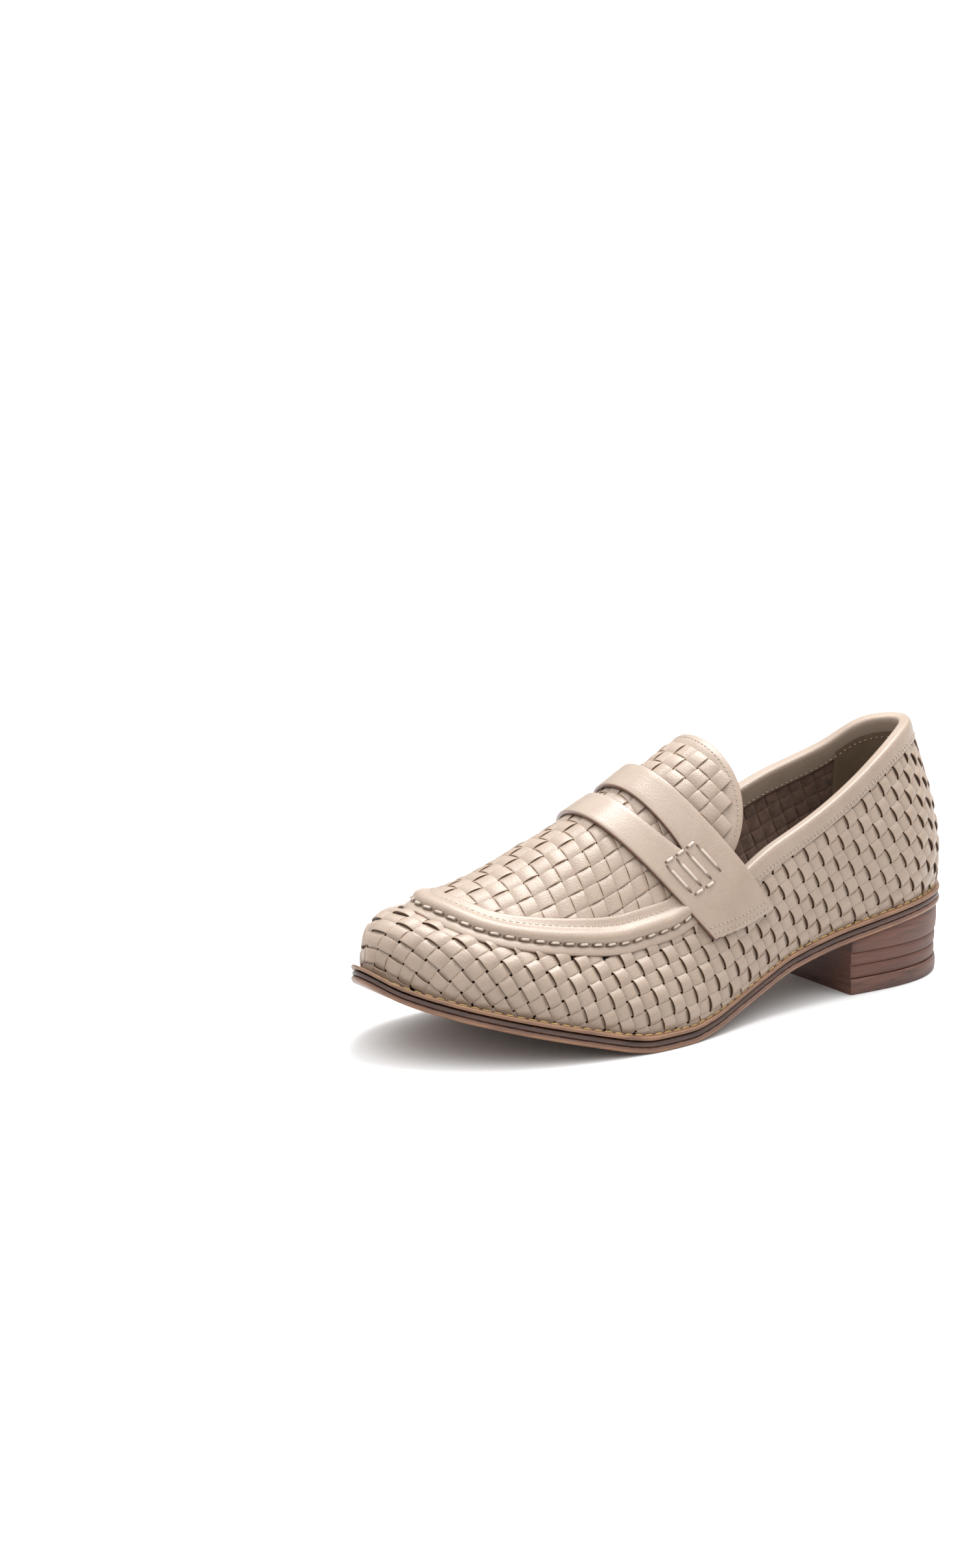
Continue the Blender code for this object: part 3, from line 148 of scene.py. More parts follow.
# Underside of the sole: shares of HEEL_RISE and of TOE_SPRING
TREAD = [
    Tread(0.000, 1.000, 0.000),
    Tread(0.061, 0.980, 0.000),
    Tread(0.123, 0.930, 0.000),
    Tread(0.205, 0.820, 0.000),
    Tread(0.276, 0.710, 0.000),
    Tread(0.358, 0.560, 0.000),
    Tread(0.409, 0.400, 0.000),
    Tread(0.471, 0.215, 0.000),
    Tread(0.532, 0.055, 0.000),
    Tread(0.573, 0.000, 0.000),
    Tread(0.640, 0.000, 0.000),
    Tread(0.678, 0.000, 0.048),
    Tread(0.716, 0.000, 0.135),
    Tread(0.788, 0.000, 0.305),
    Tread(0.860, 0.000, 0.480),
    Tread(0.921, 0.000, 0.644),
    Tread(0.972, 0.000, 0.822),
    Tread(1.000, 0.000, 1.000),
]

Ridge = namedtuple("Ridge", "along across rise outer_round inner_round")
# Highest line over instep and apron: rise over the outer seam, a share of INSTEP_RISE
RIDGE = [
    Ridge(0.358, -0.028, 0.850, 1.70, 2.40),
    Ridge(0.468, -0.028, 0.950, 1.70, 2.50),
    Ridge(0.527, -0.039, 1.000, 1.75, 2.60),
    Ridge(0.637, -0.039, 0.850, 1.90, 2.45),
    Ridge(0.699, -0.050, 0.705, 1.90, 2.45),
    Ridge(0.750, -0.061, 0.555, 1.90, 2.30),
    Ridge(0.809, -0.077, 0.385, 1.90, 2.20),
    Ridge(0.857, -0.093, 0.245, 1.90, 2.10),
    Ridge(0.892, -0.109, 0.095, 1.90, 2.00),
    Ridge(0.906, -0.114, 0.000, 1.90, 2.00),
]
ROOF_SOFTNESS = 0.15


def monotone(xs, ys):
    """Curve through a table that never overshoots its rows."""
    xs, ys = np.asarray(xs, float), np.asarray(ys, float)
    width = np.diff(xs)
    slope = np.diff(ys) / width
    grade = np.zeros(len(xs))
    for i in range(1, len(xs) - 1):
        if slope[i - 1] * slope[i] > 0:
            left, right = width[i - 1], width[i]
            one, two = 2 * right + left, right + 2 * left
            grade[i] = (one + two) / (one / slope[i - 1] + two / slope[i])
    grade[0], grade[-1] = slope[0], slope[-1]

    def curve(x):
        x = np.clip(x, xs[0], xs[-1])
        i = np.clip(np.searchsorted(xs, x, side="right") - 1, 0, len(xs) - 2)
        t = (x - xs[i]) / width[i]
        return (ys[i] * (1 + 2 * t) * (1 - t) ** 2 + grade[i] * width[i] * t * (1 - t) ** 2
                + ys[i + 1] * t * t * (3 - 2 * t) + grade[i + 1] * width[i] * t * t * (t - 1))

    return curve


def closed_curve(knots, rows):
    """Smooth closed curve through the rows of a table, over one turn from 0 to 1."""
    rows = np.asarray(rows, float)
    count = len(rows)
    step = np.diff(np.append(knots, knots[0] + 1.0))
    matrix = np.zeros((count, count))
    right = np.zeros_like(rows)
    for i in range(count):
        before, after = (i - 1) % count, (i + 1) % count
        matrix[i, before] += step[before]
        matrix[i, i] += 2 * (step[before] + step[i])
        matrix[i, after] += step[i]
        right[i] = 6 * ((rows[after] - rows[i]) / step[i] - (rows[i] - rows[before]) / step[before])
    bend = np.linalg.solve(matrix, right)

    def curve(s):
        s = np.mod(np.atleast_1d(s), 1.0)
        i = np.clip(np.searchsorted(knots, s, side="right") - 1, 0, count - 1)
        after = (i + 1) % count
        h = step[i][:, None]
        b = (s - knots[i])[:, None] / h
        a = 1 - b
        return (a * rows[i] + b * rows[after]
                + ((a ** 3 - a) * bend[i] + (b ** 3 - b) * bend[after]) * h * h / 6)

    return curve


EDGE_XY = np.array([((row.across * BALL_WIDTH), (0.5 - row.along) * SOLE_LENGTH) for row in SECTIONS])
CHORDS = np.linalg.norm(np.roll(EDGE_XY, -1, axis=0) - EDGE_XY, axis=1)
PERIMETER = CHORDS.sum()
KNOTS = np.concatenate([[0.0], np.cumsum(CHORDS)[:-1]]) / PERIMETER
TOE = KNOTS[TOE_ROW]
outline = closed_curve(KNOTS, EDGE_XY)
top_plan = closed_curve(KNOTS, [(row.top_across * BALL_WIDTH, (0.5 - row.top_along) * SOLE_LENGTH)
                                for row in SECTIONS])
wall_shape = closed_curve(KNOTS, [(row.top_rise, row.foot_up, row.belly, row.shoulder, row.drop)
                                  for row in SECTIONS])
reach_curve = monotone([0.0, 0.20, 0.45, 0.70, 1.0], [WELT_REACH_HEEL, WELT_REACH_HEEL, WELT_REACH_WAIST,
                                                     WELT_REACH_TOE, WELT_REACH_TOE])
heel_tread = monotone([row.along for row in TREAD], [row.heel for row in TREAD])
toe_tread = monotone([row.along for row in TREAD], [row.toe for row in TREAD])
ridge_across = monotone([row.along for row in RIDGE], [row.across for row in RIDGE])
ridge_rise = monotone([row.along for row in RIDGE], [row.rise for row in RIDGE])
outer_round = monotone([row.along for row in RIDGE], [row.outer_round for row in RIDGE])
inner_round = monotone([row.along for row in RIDGE], [row.inner_round for row in RIDGE])


def along(y):
    return 0.5 - y / SOLE_LENGTH


def tread(y):
    """Underside of the outsole."""
    return heel_tread(along(y)) * HEEL_RISE + toe_tread(along(y)) * TOE_SPRING


def outsole_top(y):
    return tread(y) + OUTSOLE


def midsole_top(y):
    return outsole_top(y) + LAYER_GAP + MIDSOLE


def welt_top(y):
    return midsole_top(y) + LAYER_GAP + WELT


def outward(curve, s):
    """Plan direction that points out of a closed plan curve."""
    run = curve(s + 1e-4) - curve(s - 1e-4)
    run /= np.linalg.norm(run, axis=1)[:, None]
    return np.column_stack([-run[:, 1], run[:, 0]])


def sole_edge(s, inset):
    s = np.atleast_1d(s)
    return outline(s) - outward(outline, s) * np.reshape(inset, (-1, 1))


def welt_reach(s):
    """How far the welt stands out past the wall: least at the waist."""
    return reach_curve(along(outline(s)[:, 1]))


def top_edge(s):
    """Topline of the quarters and, further forward, the seam of the apron."""
    plan = top_plan(s)
    return np.column_stack([plan, welt_top(outline(s)[:, 1]) + wall_shape(s)[:, 0] * BACK_HEIGHT])


def wall_skin(s, t):
    """Outer face of the wall, from the welt at t=0 to its top edge at t=1."""
    s, t = np.broadcast_arrays(np.atleast_1d(s), np.atleast_1d(t))
    plan = sole_edge(s, welt_reach(s))
    foot = np.column_stack([plan, welt_top(plan[:, 1]) + GAP])
    top = top_edge(s)
    side = np.column_stack([outward(outline, s), np.zeros(len(s))])
    up = np.array([[0.0, 0.0, 1.0]])
    _, foot_up, belly, shoulder, drop = wall_shape(s).T[:, :, None]
    tall = (top[:, 2] - foot[:, 2])[:, None]
    low = foot + up * foot_up * tall + side * belly * tall
    high = top - up * drop * tall + side * shoulder * tall
    t = t[:, None]
    return foot * (1 - t) ** 3 + 3 * low * t * (1 - t) ** 2 + 3 * high * t * t * (1 - t) + top * t ** 3


def unit(vectors):
    return vectors / np.linalg.norm(vectors, axis=-1, keepdims=True)


def wall_normal(s, t):
    s, t = np.broadcast_arrays(np.atleast_1d(s).astype(float), np.atleast_1d(t).astype(float))
    rise = wall_skin(s, t + 1e-3) - wall_skin(s, t - 1e-3)
    run = wall_skin(s + 2e-4, t) - wall_skin(s - 2e-4, t)
    return unit(np.cross(rise, run))


def wall_depth(s, steps=24):
    """Shares t and depths below the top edge, for each s."""
    ts = np.linspace(1.0, 0.0, steps)
    points = np.stack([wall_skin(s, t) for t in ts], axis=1)
    legs = np.linalg.norm(np.diff(points, axis=1), axis=2)
    depth = np.concatenate([np.zeros((len(legs), 1)), np.cumsum(legs, axis=1)], axis=1)
    return ts, depth


def wall_at(s, depth, out=0.0):
    """Point on the wall at a depth below its top edge, lifted out of its face."""
    s, depth = np.broadcast_arrays(np.atleast_1d(s).astype(float), np.atleast_1d(depth).astype(float))
    ts, table = wall_depth(s)
    t = np.array([np.interp(d, row, ts) for d, row in zip(depth, table)])
    over = np.minimum(depth, 0.0)[:, None]
    return wall_skin(s, t) + wall_normal(s, t) * np.reshape(out, (-1, 1)) - over * np.array([[0.0, 0.0, 1.0]])


def seam_tables():
    """Plan places and heights of the top edge on both sides, by y."""
    outer = top_edge(np.linspace(0.02, TOE, 400))
    inner = top_edge(np.linspace(0.98, TOE, 400))
    return outer[::-1], inner[::-1]


SEAM_OUTER, SEAM_INNER = seam_tables()
APRON_TIP = top_edge(TOE)[0]


def plug_height(x, y):
    """Height of the plug, a soft roof between the two seams."""
    outer_x, outer_z = (np.interp(y, SEAM_OUTER[:, 1], SEAM_OUTER[:, k]) for k in (0, 2))
    inner_x, inner_z = (np.interp(y, SEAM_INNER[:, 1], SEAM_INNER[:, k]) for k in (0, 2))
    share = along(y)
    middle = ridge_across(share) * BALL_WIDTH
    crest = outer_z + ridge_rise(share) * INSTEP_RISE
    side_x = np.where(x > middle, outer_x, inner_x)
    side_z = np.where(x > middle, outer_z, inner_z)
    span = side_x - middle
    span = np.where(np.abs(span) < 1e-5, 1e-5, span)
    u = np.clip((x - middle) / span, 0.0, 1.3)
    power = np.where(x > middle, outer_round(share), inner_round(share))
    soft = ROOF_SOFTNESS ** power
    roof = ((u * u + ROOF_SOFTNESS ** 2) ** (power / 2) - soft) / ((1 + ROOF_SOFTNESS ** 2) ** (power / 2) - soft)
    return side_z + (crest - side_z) * (1 - roof)


def plug_at(x, y, out=0.0):
    """Point over the plug, lifted out of its face."""
    x, y = np.broadcast_arrays(np.atleast_1d(x).astype(float), np.atleast_1d(y).astype(float))
    step = 4e-4
    slope_x = (plug_height(x + step, y) - plug_height(x - step, y)) / (2 * step)
    slope_y = (plug_height(x, y + step) - plug_height(x, y - step)) / (2 * step)
    normal = unit(np.column_stack([-slope_x, -slope_y, np.ones(len(x))]))
    return np.column_stack([x, y, plug_height(x, y)]) + normal * np.reshape(out, (-1, 1))


def flank(s, b):
    """Wall for b from 0 to 1, then the plug from its seam up to the ridge at b=2."""
    s, b = np.broadcast_arrays(np.atleast_1d(s).astype(float), np.atleast_1d(b).astype(float))
    wall = wall_skin(s, np.minimum(b, 1.0))
    top = top_edge(s)
    share = np.clip(b - 1.0, 0.0, 1.0)
    middle = ridge_across(along(top[:, 1])) * BALL_WIDTH
    x = top[:, 0] + (middle - top[:, 0]) * share
    plug = np.column_stack([x, top[:, 1], plug_height(x, top[:, 1])])
    return np.where((b > 1.0)[:, None], plug, wall)


def crossing(path, s, plane):
    """The s at which a path of points first passes a plane."""
    point, normal = plane
    side = (path(s) - point) @ normal
    for i in range(len(s) - 1):
        if side[i] * side[i + 1] <= 0:
            return s[i] + (s[i + 1] - s[i]) * side[i] / (side[i] - side[i + 1])
    return s[-1] if abs(side[-1]) < abs(side[0]) else s[0]


def girth_plane(share, tilt):
    """Plane across the instep, through the ridge at this share of the length."""
    y = (0.5 - share) * SOLE_LENGTH
    x = ridge_across(share) * BALL_WIDTH
    angle = np.radians(tilt)
    return np.array([x, y, plug_height(x, y)]), np.array([0.0, np.cos(angle), np.sin(angle)])


GIRTH_B = np.concatenate([np.linspace(0.25, 1.0, 7), np.linspace(1.08, 2.0, 13)])
OUTER_SPAN = np.linspace(KNOTS[OUTER_ROWS[0]], KNOTS[OUTER_ROWS[1]], 160)
INNER_SPAN = np.linspace(KNOTS[INNER_ROWS[0]], KNOTS[INNER_ROWS[1]], 160)


def girth(plane):
    """Line over both walls and the plug where a plane cuts them, outer side first."""
    outer = [flank(crossing(lambda s: flank(s, b), OUTER_SPAN, plane), b)[0] for b in GIRTH_B]
    inner = [flank(crossing(lambda s: flank(s, b), INNER_SPAN, plane), b)[0] for b in GIRTH_B]
    return np.array(outer + inner[-2::-1])


def from_ridge(line, ridge_index):
    """Signed lengths along a line, with zero at the ridge and plus on the outer side."""
    legs = np.linalg.norm(np.diff(line, axis=0), axis=1)
    length = np.concatenate([[0.0], np.cumsum(legs)])
    return length[ridge_index] - length


def girth_grid(planes, lengths):
    """Rows of points at the same lengths from the ridge, one row for each plane."""
    rows = []
    for plane in planes:
        line = girth(plane)
        place = from_ridge(line, len(GIRTH_B) - 1)
        rows.append(np.column_stack([np.interp(lengths, place[::-1], line[::-1, k]) for k in range(3)]))
    return np.array(rows)


def soften(grid, turns):
    """Round the bends of each row a little, with its ends kept."""
    for _ in range(turns):
        middle = (grid[:, :-2] + 2 * grid[:, 1:-1] + grid[:, 2:]) / 4
        grid = np.concatenate([grid[:, :1], middle, grid[:, -1:]], axis=1)
    return grid


class Drape:
    """A grid of points read as a surface over u (along its rows) and v (over its rows)."""

    def __init__(self, grid, us, vs):
        self.grid, self.us, self.vs = grid, us, vs

    def skin(self, u, v):
        i = np.clip(np.searchsorted(self.us, u) - 1, 0, len(self.us) - 2)
        j = np.clip(np.searchsorted(self.vs, v) - 1, 0, len(self.vs) - 2)
        a = ((u - self.us[i]) / (self.us[i + 1] - self.us[i]))[:, None]
        b = ((v - self.vs[j]) / (self.vs[j + 1] - self.vs[j]))[:, None]
        near = self.grid[j, i] * (1 - a) + self.grid[j, i + 1] * a
        far = self.grid[j + 1, i] * (1 - a) + self.grid[j + 1, i + 1] * a
        return near * (1 - b) + far * b

    def at(self, uv, out):
        u, v = np.asarray(uv, float).T
        step = 0.0012
        run = self.skin(u + step, v) - self.skin(u - step, v)
        rise = self.skin(u, v + step) - self.skin(u, v - step)
        normal = unit(np.cross(run, rise))
        return self.skin(u, v) + normal * np.reshape(out, (-1, 1))


def inside(points, loop):
    """True for each plan point that a closed loop holds."""
    x, y = np.asarray(points, float).T
    hit = np.zeros(len(x), bool)
    for (x1, y1), (x2, y2) in zip(loop, np.roll(loop, -1, axis=0)):
        over = (y1 > y) != (y2 > y)
        slope = (x2 - x1) / (y2 - y1) if y2 != y1 else 0.0
        hit ^= over & (x < (y - y1) * slope + x1)
    return hit


def triangulate(loops, extra=(), extra_edges=()):
    """Triangles between an outer loop and its holes, through the extra points."""
    points, edges = [], []
    for loop in loops:
        first = len(points)
        points.extend(map(tuple, loop))
        edges.extend((first + i, first + (i + 1) % len(loop)) for i in range(len(loop)))
    first = len(points)
    points.extend(map(tuple, extra))
    edges.extend((first + a, first + b) for a, b in extra_edges)
    found = delaunay_2d_cdt([Vector(p) for p in points], edges, [], 1, 1e-9)
    plan = np.array([tuple(p) for p in found[0]])
    faces = np.array(found[2])
    centres = plan[faces].mean(axis=1)
    keep = np.ones(len(faces), bool)
    for hole in loops[1:]:
        keep &= ~inside(centres, hole)
    return plan, faces[keep]


def grid_inside(loops, step, margin, rows=None):
    """Grid of points inside a loop and clear of its edge and holes, on its own rows or on those given."""
    low, high = loops[0].min(axis=0), loops[0].max(axis=0)
    xs = np.arange(np.floor(low[0] / step), high[0] / step + 1) * step
    ys = np.arange(np.floor(low[1] / step), high[1] / step + 1) * step if rows is None else rows
    points = np.array([(x, y) for y in ys for x in xs])
    keep = inside(points, loops[0])
    for loop in loops:
        legs = np.linspace(loop, np.roll(loop, -1, axis=0), 4)[:3].reshape(-1, 2)
        apart = np.linalg.norm(points[:, None] - legs[None], axis=2).min(axis=1)
        keep &= apart > margin
    for hole in loops[1:]:
        keep &= ~inside(points, hole)
    return points[keep]


def sheet_turn(s):
    """How far the flat sheet of the wall has turned, in radians: about half a turn round the toe."""
    return np.radians(monotone([*KNOTS, 1.0], WEAVE_TURNS)(s))


SHEET_S = np.linspace(0.0, 1.0, 1201)


def sheet_spine():
    """Line of the flat sheet that keeps its length, laid out in its own plane."""
    step = 0.1 * PITCH
    depth = 2 * SHEET_KEEPS * HALF_DEPTH
    middle = wall_at(SHEET_S, depth)
    upward = unit(wall_at(SHEET_S, depth - step) - wall_at(SHEET_S, depth + step))
    legs = np.diff(middle, axis=0, prepend=middle[:1])
    rise = (legs * upward).sum(axis=1)
    run = np.sqrt(np.maximum((legs ** 2).sum(axis=1) - rise ** 2, 0.0))
    turn = sheet_turn(SHEET_S)
    x = np.cumsum(run * np.cos(turn) - rise * np.sin(turn))
    y = np.cumsum(run * np.sin(turn) + rise * np.cos(turn))
    toe = np.searchsorted(SHEET_S, TOE)
    return np.column_stack([x - x[toe], y - y[toe]])


def sheet_place(s, depth):
    """Place on the flat sheet of a point of the wall."""
    x = np.interp(s, SHEET_S, SPINE[:, 0])
    y = np.interp(s, SHEET_S, SPINE[:, 1])
    turn = sheet_turn(s)
    reach = 2 * SHEET_KEEPS * np.interp(s, SHEET_S, HALF_DEPTH) - depth
    return np.column_stack([x - np.sin(turn) * reach, y + np.cos(turn) * reach])


def back_half(height):
    """Half width of the back strip, by height over the welt."""
    rise = [0.0, 0.006, 0.014, 0.024, BACK_HEIGHT]
    low = STRIP_FOOT_HALF
    half = [low, 0.72 * low, 0.5 * low, STRIP_TOP_HALF * 1.1, STRIP_TOP_HALF]
    return np.interp(height, rise, half)


def ellipse_loop(centre, half, steps, power=1.0):
    turn = np.linspace(0.0, 2 * np.pi, steps, endpoint=False)
    wave = np.column_stack([np.cos(turn), np.sign(np.sin(turn)) * np.abs(np.sin(turn)) ** power])
    return np.array(centre) + wave * np.array(half)


def tongue_drape():
    """Surface of the tongue: tucked under the plug, then flaring back over the opening."""
    us = np.linspace(-TONGUE_HALF - TONGUE_SKEW - 0.004, TONGUE_HALF + 0.004, 27)
    vs = np.concatenate([np.linspace(-TONGUE_TUCK - 0.002, 0.0, 4), np.linspace(0.0, TONGUE_LENGTH + 0.002, 7)[1:]])
    share = STRAP_FRONT - STRAP_WIDTH
    tucked = [girth_plane(share - v / SOLE_LENGTH * 0.87, STRAP_TILT_REAR) for v in vs[:4]]
    rows = list(soften(girth_grid(tucked, us), 3))
    base = rows[-1]
    ridge = base[np.argmin(np.abs(us))]
    for v in vs[4:]:
        grow = v / TONGUE_LENGTH
        flat = 1 + (TONGUE_FLAT - 1) * grow
        slope = np.radians(TONGUE_SLOPE)
        shift = np.array([0.0, np.cos(slope), np.sin(slope)]) * v
        row = base.copy()
        row[:, 1:] = ridge[1:] + (base[:, 1:] - ridge[1:]) * flat
        rows.append(row + shift)
    return Drape(np.array(rows), us, vs)


HALF_DEPTH = 0.5 * wall_depth(SHEET_S)[1][:, -1]
SPINE = sheet_spine()
PLANE_FRONT = girth_plane(STRAP_FRONT, STRAP_TILT_FRONT)
PLANE_REAR = girth_plane(STRAP_FRONT - STRAP_WIDTH, STRAP_TILT_REAR)
PLANE_THROAT = girth_plane(STRAP_FRONT - 0.80 * STRAP_WIDTH, STRAP_TILT_REAR)
S_LIP_OUTER = crossing(lambda s: flank(s, 1.0), OUTER_SPAN, PLANE_FRONT)
S_LIP_INNER = crossing(lambda s: flank(s, 1.0), INNER_SPAN, PLANE_FRONT)
S_THROAT_OUTER = crossing(lambda s: flank(s, 1.0), OUTER_SPAN, PLANE_THROAT)
S_THROAT_INNER = crossing(lambda s: flank(s, 1.0), INNER_SPAN, PLANE_THROAT)
STRAP_US = np.linspace(-STRAP_HALF_REAR - 0.002, STRAP_HALF_REAR + 0.002, 93)
STRAP_PLANES = [girth_plane(STRAP_FRONT - STRAP_WIDTH * k,
                            STRAP_TILT_FRONT + (STRAP_TILT_REAR - STRAP_TILT_FRONT) * k)
                for k in np.linspace(0.0, 1.0, 9)]
STRAP_GRID = soften(girth_grid(STRAP_PLANES, STRAP_US), 8)
STRAP_VS = np.concatenate([[0.0], np.cumsum(np.linalg.norm(np.diff(STRAP_GRID[:, 46], axis=0), axis=1))])
STRAP = Drape(STRAP_GRID, STRAP_US, STRAP_VS)

# Strips of the weave: leather, and widths as shares of the pitch
STRIP_LEATHER = 0.0011
LONG_SHARE = 0.885
CROSS_SHARE = 0.835
APRON_LONG_SHARE = 0.945
APRON_CROSS_SHARE = 0.925
# How far a strip's middle rises over and dives under the others, where between them it
# crosses the level, and how flat it lies on top
Rise = namedtuple("Rise", "lift drop bias sharp")
# Height over the welt from which strips stand at full relief
FOOT_PLAIN = 0.0030
# Depth down to which strips lie flat under the binding
BAND_FLAT = 0.0050
# Depth from which crossings are made under the binding
BAND_TOP = 0.0030
# Depth under the binding's edge at which they stand at full relief again
BAND_CLEAR = 0.0012
# Lining round the back of the heel: its reach each way, as a share of the ring
COUNTER_REACH = 0.068
RANDOM = np.random.default_rng(7)
JITTER = RANDOM.uniform(-1.0, 1.0, (2, 400))


# Tables that make the wall quick to read
TABLE_S = np.linspace(0.0, 1.0, 901)
TABLE_V = np.linspace(0.0, 1.0, 61)


def wall_table():
    """Places and directions of the wall on a fine grid of s and of the share of its depth."""
    ts, depth = wall_depth(TABLE_S, 40)
    t = np.array([np.interp(TABLE_V * row[-1], row, ts) for row in depth])
    s = np.repeat(TABLE_S, len(TABLE_V))
    shape = (len(TABLE_S), len(TABLE_V), 3)
    return depth[:, -1], wall_skin(s, t.ravel()).reshape(shape), wall_normal(s, t.ravel()).reshape(shape)


WALL_FULL, WALL_POINTS, WALL_NORMALS = wall_table()


def grid_read(grid, a, b):
    """Bilinear reading of a grid at fractional row and column numbers."""
    a = np.clip(a, 0.0, grid.shape[0] - 1.001)
    b = np.clip(b, 0.0, grid.shape[1] - 1.001)
    i, j = a.astype(int), b.astype(int)
    x, y = (a - i)[..., None], (b - j)[..., None]
    return ((grid[i, j] * (1 - x) + grid[i + 1, j] * x) * (1 - y)
            + (grid[i, j + 1] * (1 - x) + grid[i + 1, j + 1] * x) * y)


def wall_fast(s, depth, out):
    """Point of the wall, from the tables: past the wall's edges it stays on them."""
    s, depth, out = np.broadcast_arrays(np.atleast_1d(s), depth, out)
    s = np.clip(s, 0.0, 1.0)
    full = np.interp(s, TABLE_S, WALL_FULL)
    v = np.clip(depth / full, 0.0, 1.0)
    a, b = s * (len(TABLE_S) - 1), v * (len(TABLE_V) - 1)
    normal = unit(grid_read(WALL_NORMALS, a, b))
    point = grid_read(WALL_POINTS, a, b) + normal * out[..., None]
    point[..., 2] -= np.clip(depth - full, 0.0, 0.0005) + np.maximum(np.minimum(depth, 0.0), -0.0003)
    return point


# How far the weave's lattice is found past the wall's edges
SPARE = 0.0075


def sheet_table():
    """Place (s, depth) of each crossing of the weave's sheet, found back by Newton steps."""
    ss = np.repeat(np.linspace(0.0, 1.0, 700), 60)
    shares = np.tile(np.linspace(0.0, 1.0, 60), 700)
    depths = (2 * np.interp(ss, SHEET_S, HALF_DEPTH) + 2 * SPARE) * shares - SPARE
    sheet = sheet_place(ss, depths) / PITCH
    low = np.floor(sheet.min(axis=0)).astype(int) - 1
    count = np.ceil(sheet.max(axis=0)).astype(int) + 2 - low
    places = np.full((*count, 2), np.nan)
    cell = np.round(sheet).astype(int)
    apart = ((sheet - cell) ** 2).sum(axis=1)
    order = np.argsort(-apart)
    for k in order:
        places[tuple(cell[k] - low)] = (ss[k], depths[k])
    good = ~np.isnan(places[..., 0])
    goal = (np.argwhere(good) + low) * PITCH
    s, depth = places[good].T.copy()
    for _ in range(8):
        s = np.clip(s, 0.001, 0.999)
        here = sheet_place(s, depth)
        ds = (sheet_place(s + 1e-4, depth) - here) / 1e-4
        dd = (sheet_place(s, depth + 1e-5) - here) / 1e-5
        det = ds[:, 0] * dd[:, 1] - ds[:, 1] * dd[:, 0]
        miss = goal - here
        s = s + np.clip((miss[:, 0] * dd[:, 1] - miss[:, 1] * dd[:, 0]) / det, -0.02, 0.02)
        depth = depth + np.clip((ds[:, 0] * miss[:, 1] - ds[:, 1] * miss[:, 0]) / det, -0.01, 0.01)
    places[good] = np.column_stack([np.clip(s, 0.0, 1.0), depth])
    return low, places


SHEET_LOW, SHEET_PLACES = sheet_table()


def sheet_read(p, q):
    """Place (s, depth) of a point of the sheet, given in pitches."""
    return grid_read(SHEET_PLACES, p - SHEET_LOW[0], q - SHEET_LOW[1])


def wall_weave(p, q, out):
    """Point of the wall's weave."""
    place = sheet_read(p, q)
    return wall_fast(place[..., 0], place[..., 1], out)


def apron_table():
    """Places of the apron's weave: across from the ridge and along it, four steps a pitch."""
    ys = np.linspace(APRON_TIP[1] - 0.001, SEAM_OUTER[-1, 1], 500)
    middle = ridge_across(along(ys)) * BALL_WIDTH
    crest = np.column_stack([ys, plug_height(middle, ys)])
    length = np.concatenate([[0.0], np.cumsum(np.linalg.norm(np.diff(crest, axis=0), axis=1))])
    columns = np.arange(-40, 41) / 4
    rows = np.arange(0, 24 * 4 + 1) / 4
    grid = np.zeros((len(columns), len(rows), 2))
    for j, row in enumerate(rows):
        y = np.interp(row * APRON_PITCH, length, ys)
        centre = ridge_across(along(y)) * BALL_WIDTH
        for side in (-1, 1):
            xs = centre + side * np.linspace(0.0, 0.075, 120)
            zs = plug_height(xs, np.full(120, y))
            run = np.concatenate([[0.0], np.cumsum(np.hypot(np.diff(xs), np.diff(zs)))])
            pick = columns * side >= 0
            grid[pick, j, 0] = np.interp(np.abs(columns[pick]) * APRON_PITCH, run, xs)
        grid[:, j, 1] = y
    return grid


APRON_GRID = apron_table()


def apron_plan(p, q):
    """Plan place of a point of the apron's weave, given in pitches."""
    return grid_read(APRON_GRID, (p + 10) * 4, q * 4)


def apron_weave(p, q, out):
    """Point of the apron's weave."""
    plan = apron_plan(p, q)
    flat = plan.reshape(-1, 2)
    return plug_at(flat[:, 0], flat[:, 1], np.ravel(out)).reshape(*plan.shape[:-1], 3)


# Making objects

# Vertices of one piece that lie nearer than this are joined
WELD = 2e-6


def piece(name, verts, faces, materials, face_materials, rim, weld):
    """Object from plain arrays, riding on the shoe's one body."""
    mesh = bpy.data.meshes.new(name)
    mesh.from_pydata(np.asarray(verts, float).tolist(), [], [tuple(int(i) for i in face) for face in faces])
    for look in materials:
        mesh.materials.append(look)
    mesh.polygons.foreach_set("material_index", np.asarray(face_materials, np.int32))
    layer = mesh.attributes.new("rim", "FLOAT", "POINT")
    layer.data.foreach_set("value", np.asarray(rim, np.float32))
    work = bmesh.new()
    work.from_mesh(mesh)
    bmesh.ops.remove_doubles(work, verts=work.verts, dist=weld)
    bmesh.ops.recalc_face_normals(work, faces=work.faces)
    work.to_mesh(mesh)
    work.free()
    mesh.shade_smooth()
    thing = bpy.data.objects.new(name, mesh)
    bpy.context.scene.collection.objects.link(thing)
    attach(thing, "root")
    return thing


def grid_faces(rows, columns, first=0, wrap=False):
    """Quads of a grid whose points run column by column within each row."""
    i, j = np.meshgrid(np.arange(rows - 1), np.arange(columns if wrap else columns - 1), indexing="ij")
    k = (j + 1) % columns
    quads = np.stack([i * columns + j, i * columns + k, (i + 1) * columns + k, (i + 1) * columns + j], axis=-1)
    return quads.reshape(-1, 4) + first


